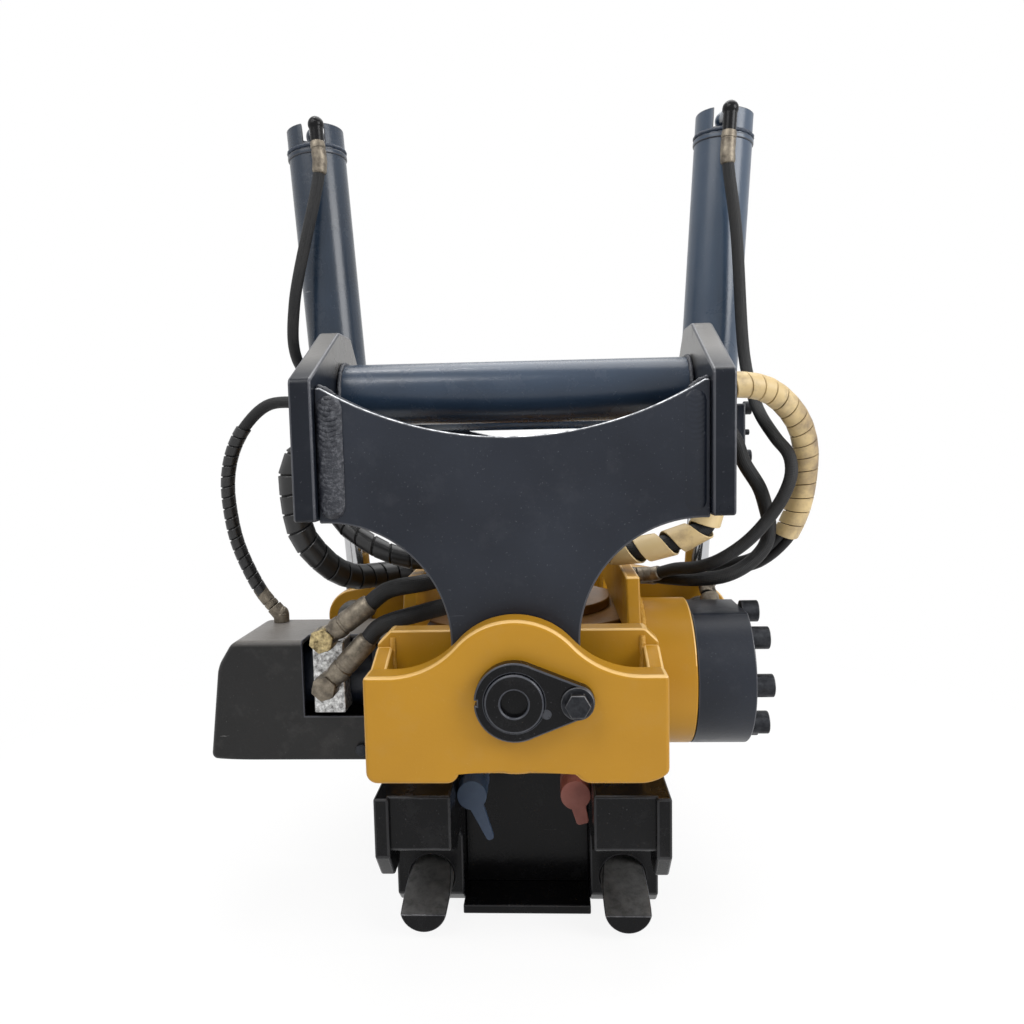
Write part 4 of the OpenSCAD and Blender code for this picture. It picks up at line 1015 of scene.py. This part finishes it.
# Fittings on the motor's ports, the guard's bolt and the lock plate's punch mark
hexForm = {"turn": 12, "edge": 0.0012}
hexHeads = {
    "upperElbowHex": {"at": (-0.207, -0.2195, 0.314), "radius": 0.0135, "length": 0.024,
                      "finish": "platedHex"},
    "lowerElbowHex": {"at": (-0.205, -0.2245, 0.265), "radius": 0.0135, "length": 0.026,
                      "finish": "ferruleSteel"},
    "guardBoltHex": {"at": (-0.1752, -0.2025, 0.1872), "radius": 0.0075, "length": 0.006,
                     "finish": "blackSteel"},
}
elbowSleeves = {
    "upperElbowSleeve": {"from": (-0.1955, -0.219, 0.3224), "to": (-0.156, -0.219, 0.3515), "radius": 0.0093},
    "lowerElbowSleeve": {"from": (-0.1945, -0.225, 0.2762), "to": (-0.158, -0.225, 0.3151), "radius": 0.0093},
}
loopElbow = {"at": (-0.291, -0.104, 0.3179), "radius": 0.0086}
punchMark = {"at": (0.0267, -0.389, 0.2905), "radii": [0.0044, 0.0042, 0.0030, 0.0026],
             "steps": [0.0006, -0.0003, -0.0006, 0.0004]}


def addFittings():
    for name, head in hexHeads.items():
        turn = (math.pi / 2, math.radians(hexForm["turn"]), 0)
        bpy.ops.mesh.primitive_cylinder_add(vertices=6, radius=head["radius"], depth=head["length"],
                                            location=head["at"], rotation=turn)
        piece = bpy.context.object
        piece.name = name
        addModifier(piece, "BEVEL", width=hexForm["edge"], segments=2)
        smoothShade(piece, 30)
        wear(piece, head["finish"])
        placePiece(piece, "housing")
    for name, sleeve in elbowSleeves.items():
        run = Run([Vector(sleeve["from"]).lerp(Vector(sleeve["to"]), k / 8) for k in range(9)])
        piece = crimpSleeve(name, run, 0.0, run.reach[-1], sleeve["radius"])
        placePiece(piece, "housing")
    bpy.ops.mesh.primitive_uv_sphere_add(segments=24, ring_count=14, radius=loopElbow["radius"],
                                         location=loopElbow["at"])
    piece = bpy.context.object
    piece.name = "loopElbow"
    smoothShade(piece, 60)
    wear(piece, "ferruleSteel")
    placePiece(piece, "housing")
    run = Run([Vector(punchMark["at"]) + Vector((0, step, 0)) for step in punchMark["steps"]])
    piece = sweep("lockPlatePunch", run, punchMark["radii"], 20)
    wear(piece, "blackEdgeWornAndLit")
    placePiece(piece, "housing")


addFittings()
print("fittings added")

# Camera at the photograph's place
cameraSet = {"at": (0.032, -1.035, 0.516), "yaw": 2.7, "pitch": 5.0, "roll": -1.2, "lens": 28.125}


def addCamera():
    yaw, pitch, roll = (math.radians(cameraSet[k]) for k in ("yaw", "pitch", "roll"))
    forward = Vector((-math.sin(yaw) * math.cos(pitch), math.cos(yaw) * math.cos(pitch), -math.sin(pitch)))
    right = forward.cross(Vector((0, 0, 1))).normalized()
    up = right.cross(forward)
    rolledRight = right * math.cos(roll) + up * math.sin(roll)
    rolledUp = up * math.cos(roll) - right * math.sin(roll)
    bpy.ops.object.camera_add(location=cameraSet["at"])
    camera = bpy.context.object
    camera.rotation_euler = Matrix((rolledRight, rolledUp, -forward)).transposed().to_euler()
    camera.data.lens = cameraSet["lens"]
    camera.data.sensor_width = 36
    bpy.context.scene.camera = camera


addCamera()

# Lamps, sky and floor
lamps = {
    "keyLamp": {"at": (-1.3, -1.5, 2.3), "aim": (0, 0, 0.4), "size": (1.6, 1.6), "power": 28},
    "topLamp": {"at": (0.2, 0.5, 2.5), "aim": (0, 0, 0.4), "size": (2.0, 2.0), "power": 34},
    "sideLamp": {"at": (1.8, -1.2, 1.3), "aim": (0, 0, 0.4), "size": (1.2, 1.2), "power": 36},
    "frontStrip": {"at": (-0.5, -1.5, 2.1), "aim": (-0.3, 0, 0.4), "size": (0.6, 0.05), "power": 3.5},
    "topStrip": {"at": (-0.5, 0.06, 2.5), "aim": (-0.5, 0, 0.4), "size": (0.6, 0.05), "power": 3.5},
}


def addLamps():
    for name, lamp in lamps.items():
        bpy.ops.object.light_add(type="AREA", location=lamp["at"])
        light = bpy.context.object
        light.name = name
        light.data.shape = "RECTANGLE"
        light.data.size, light.data.size_y = lamp["size"]
        light.data.energy = lamp["power"]
        aim = Vector(lamp["aim"]) - Vector(lamp["at"])
        light.rotation_euler = aim.to_track_quat("-Z", "Y").to_euler()


# Light from the sky: all round, from above and from behind the object
skyLevel = {"round": 0.2, "above": 0.6, "behind": 0.4}


def addSky():
    world = bpy.data.worlds.new("sky")
    world.use_nodes = True
    bpy.context.scene.world = world
    tree = world.node_tree
    start = Wire(tree)
    toward = start.node("TexCoord", {}, {}, out="Generated")
    behind = start.sum("MAXIMUM", toward.part("Y"), 0.0)
    above = start.sum("MAXIMUM", toward.part("Z"), 0.0)
    level = skyLevel["round"] + above * skyLevel["above"] + behind * skyLevel["behind"]
    shown = start.shownRays()
    strength = shown + (1 - shown) * level
    feed(tree.nodes["Background"], {"Color": rgb(1, 1, 1), "Strength": strength})


# Floor that keeps the object's shadow near it and fades to white further out
floorLook = {"size": 8, "colour": rgb(0.9, 0.9, 0.9), "rough": 0.8, "pale": 0.88, "fade": (0.5, 1.0)}


def addFloor():
    bpy.ops.mesh.primitive_plane_add(size=floorLook["size"], location=(0, 0, 0))
    floor = bpy.context.object
    floor.name = "paleFloor"
    made, shader, place = newMaterial("paleFloor")
    feed(shader, {"Base Color": floorLook["colour"], "Roughness": floorLook["rough"]})
    away = place.node("VectorMath", {"operation": "LENGTH"}, {0: place}, out="Value").ramp(*floorLook["fade"])
    white = place.node("Emission", {}, {"Color": rgb(1, 1, 1), "Strength": 1.0})
    lit = Wire(made.node_tree, shader.outputs[0])
    pale = place.shownRays() * (floorLook["pale"] + away * (1 - floorLook["pale"]))
    both = place.node("MixShader", {}, {0: pale, 1: lit, 2: white})
    feed(made.node_tree.nodes["Material Output"], {"Surface": both})
    floor.data.materials.append(made)


addLamps()
addSky()
addFloor()
bpy.context.scene.view_settings.view_transform = "Standard"
print("stage set")
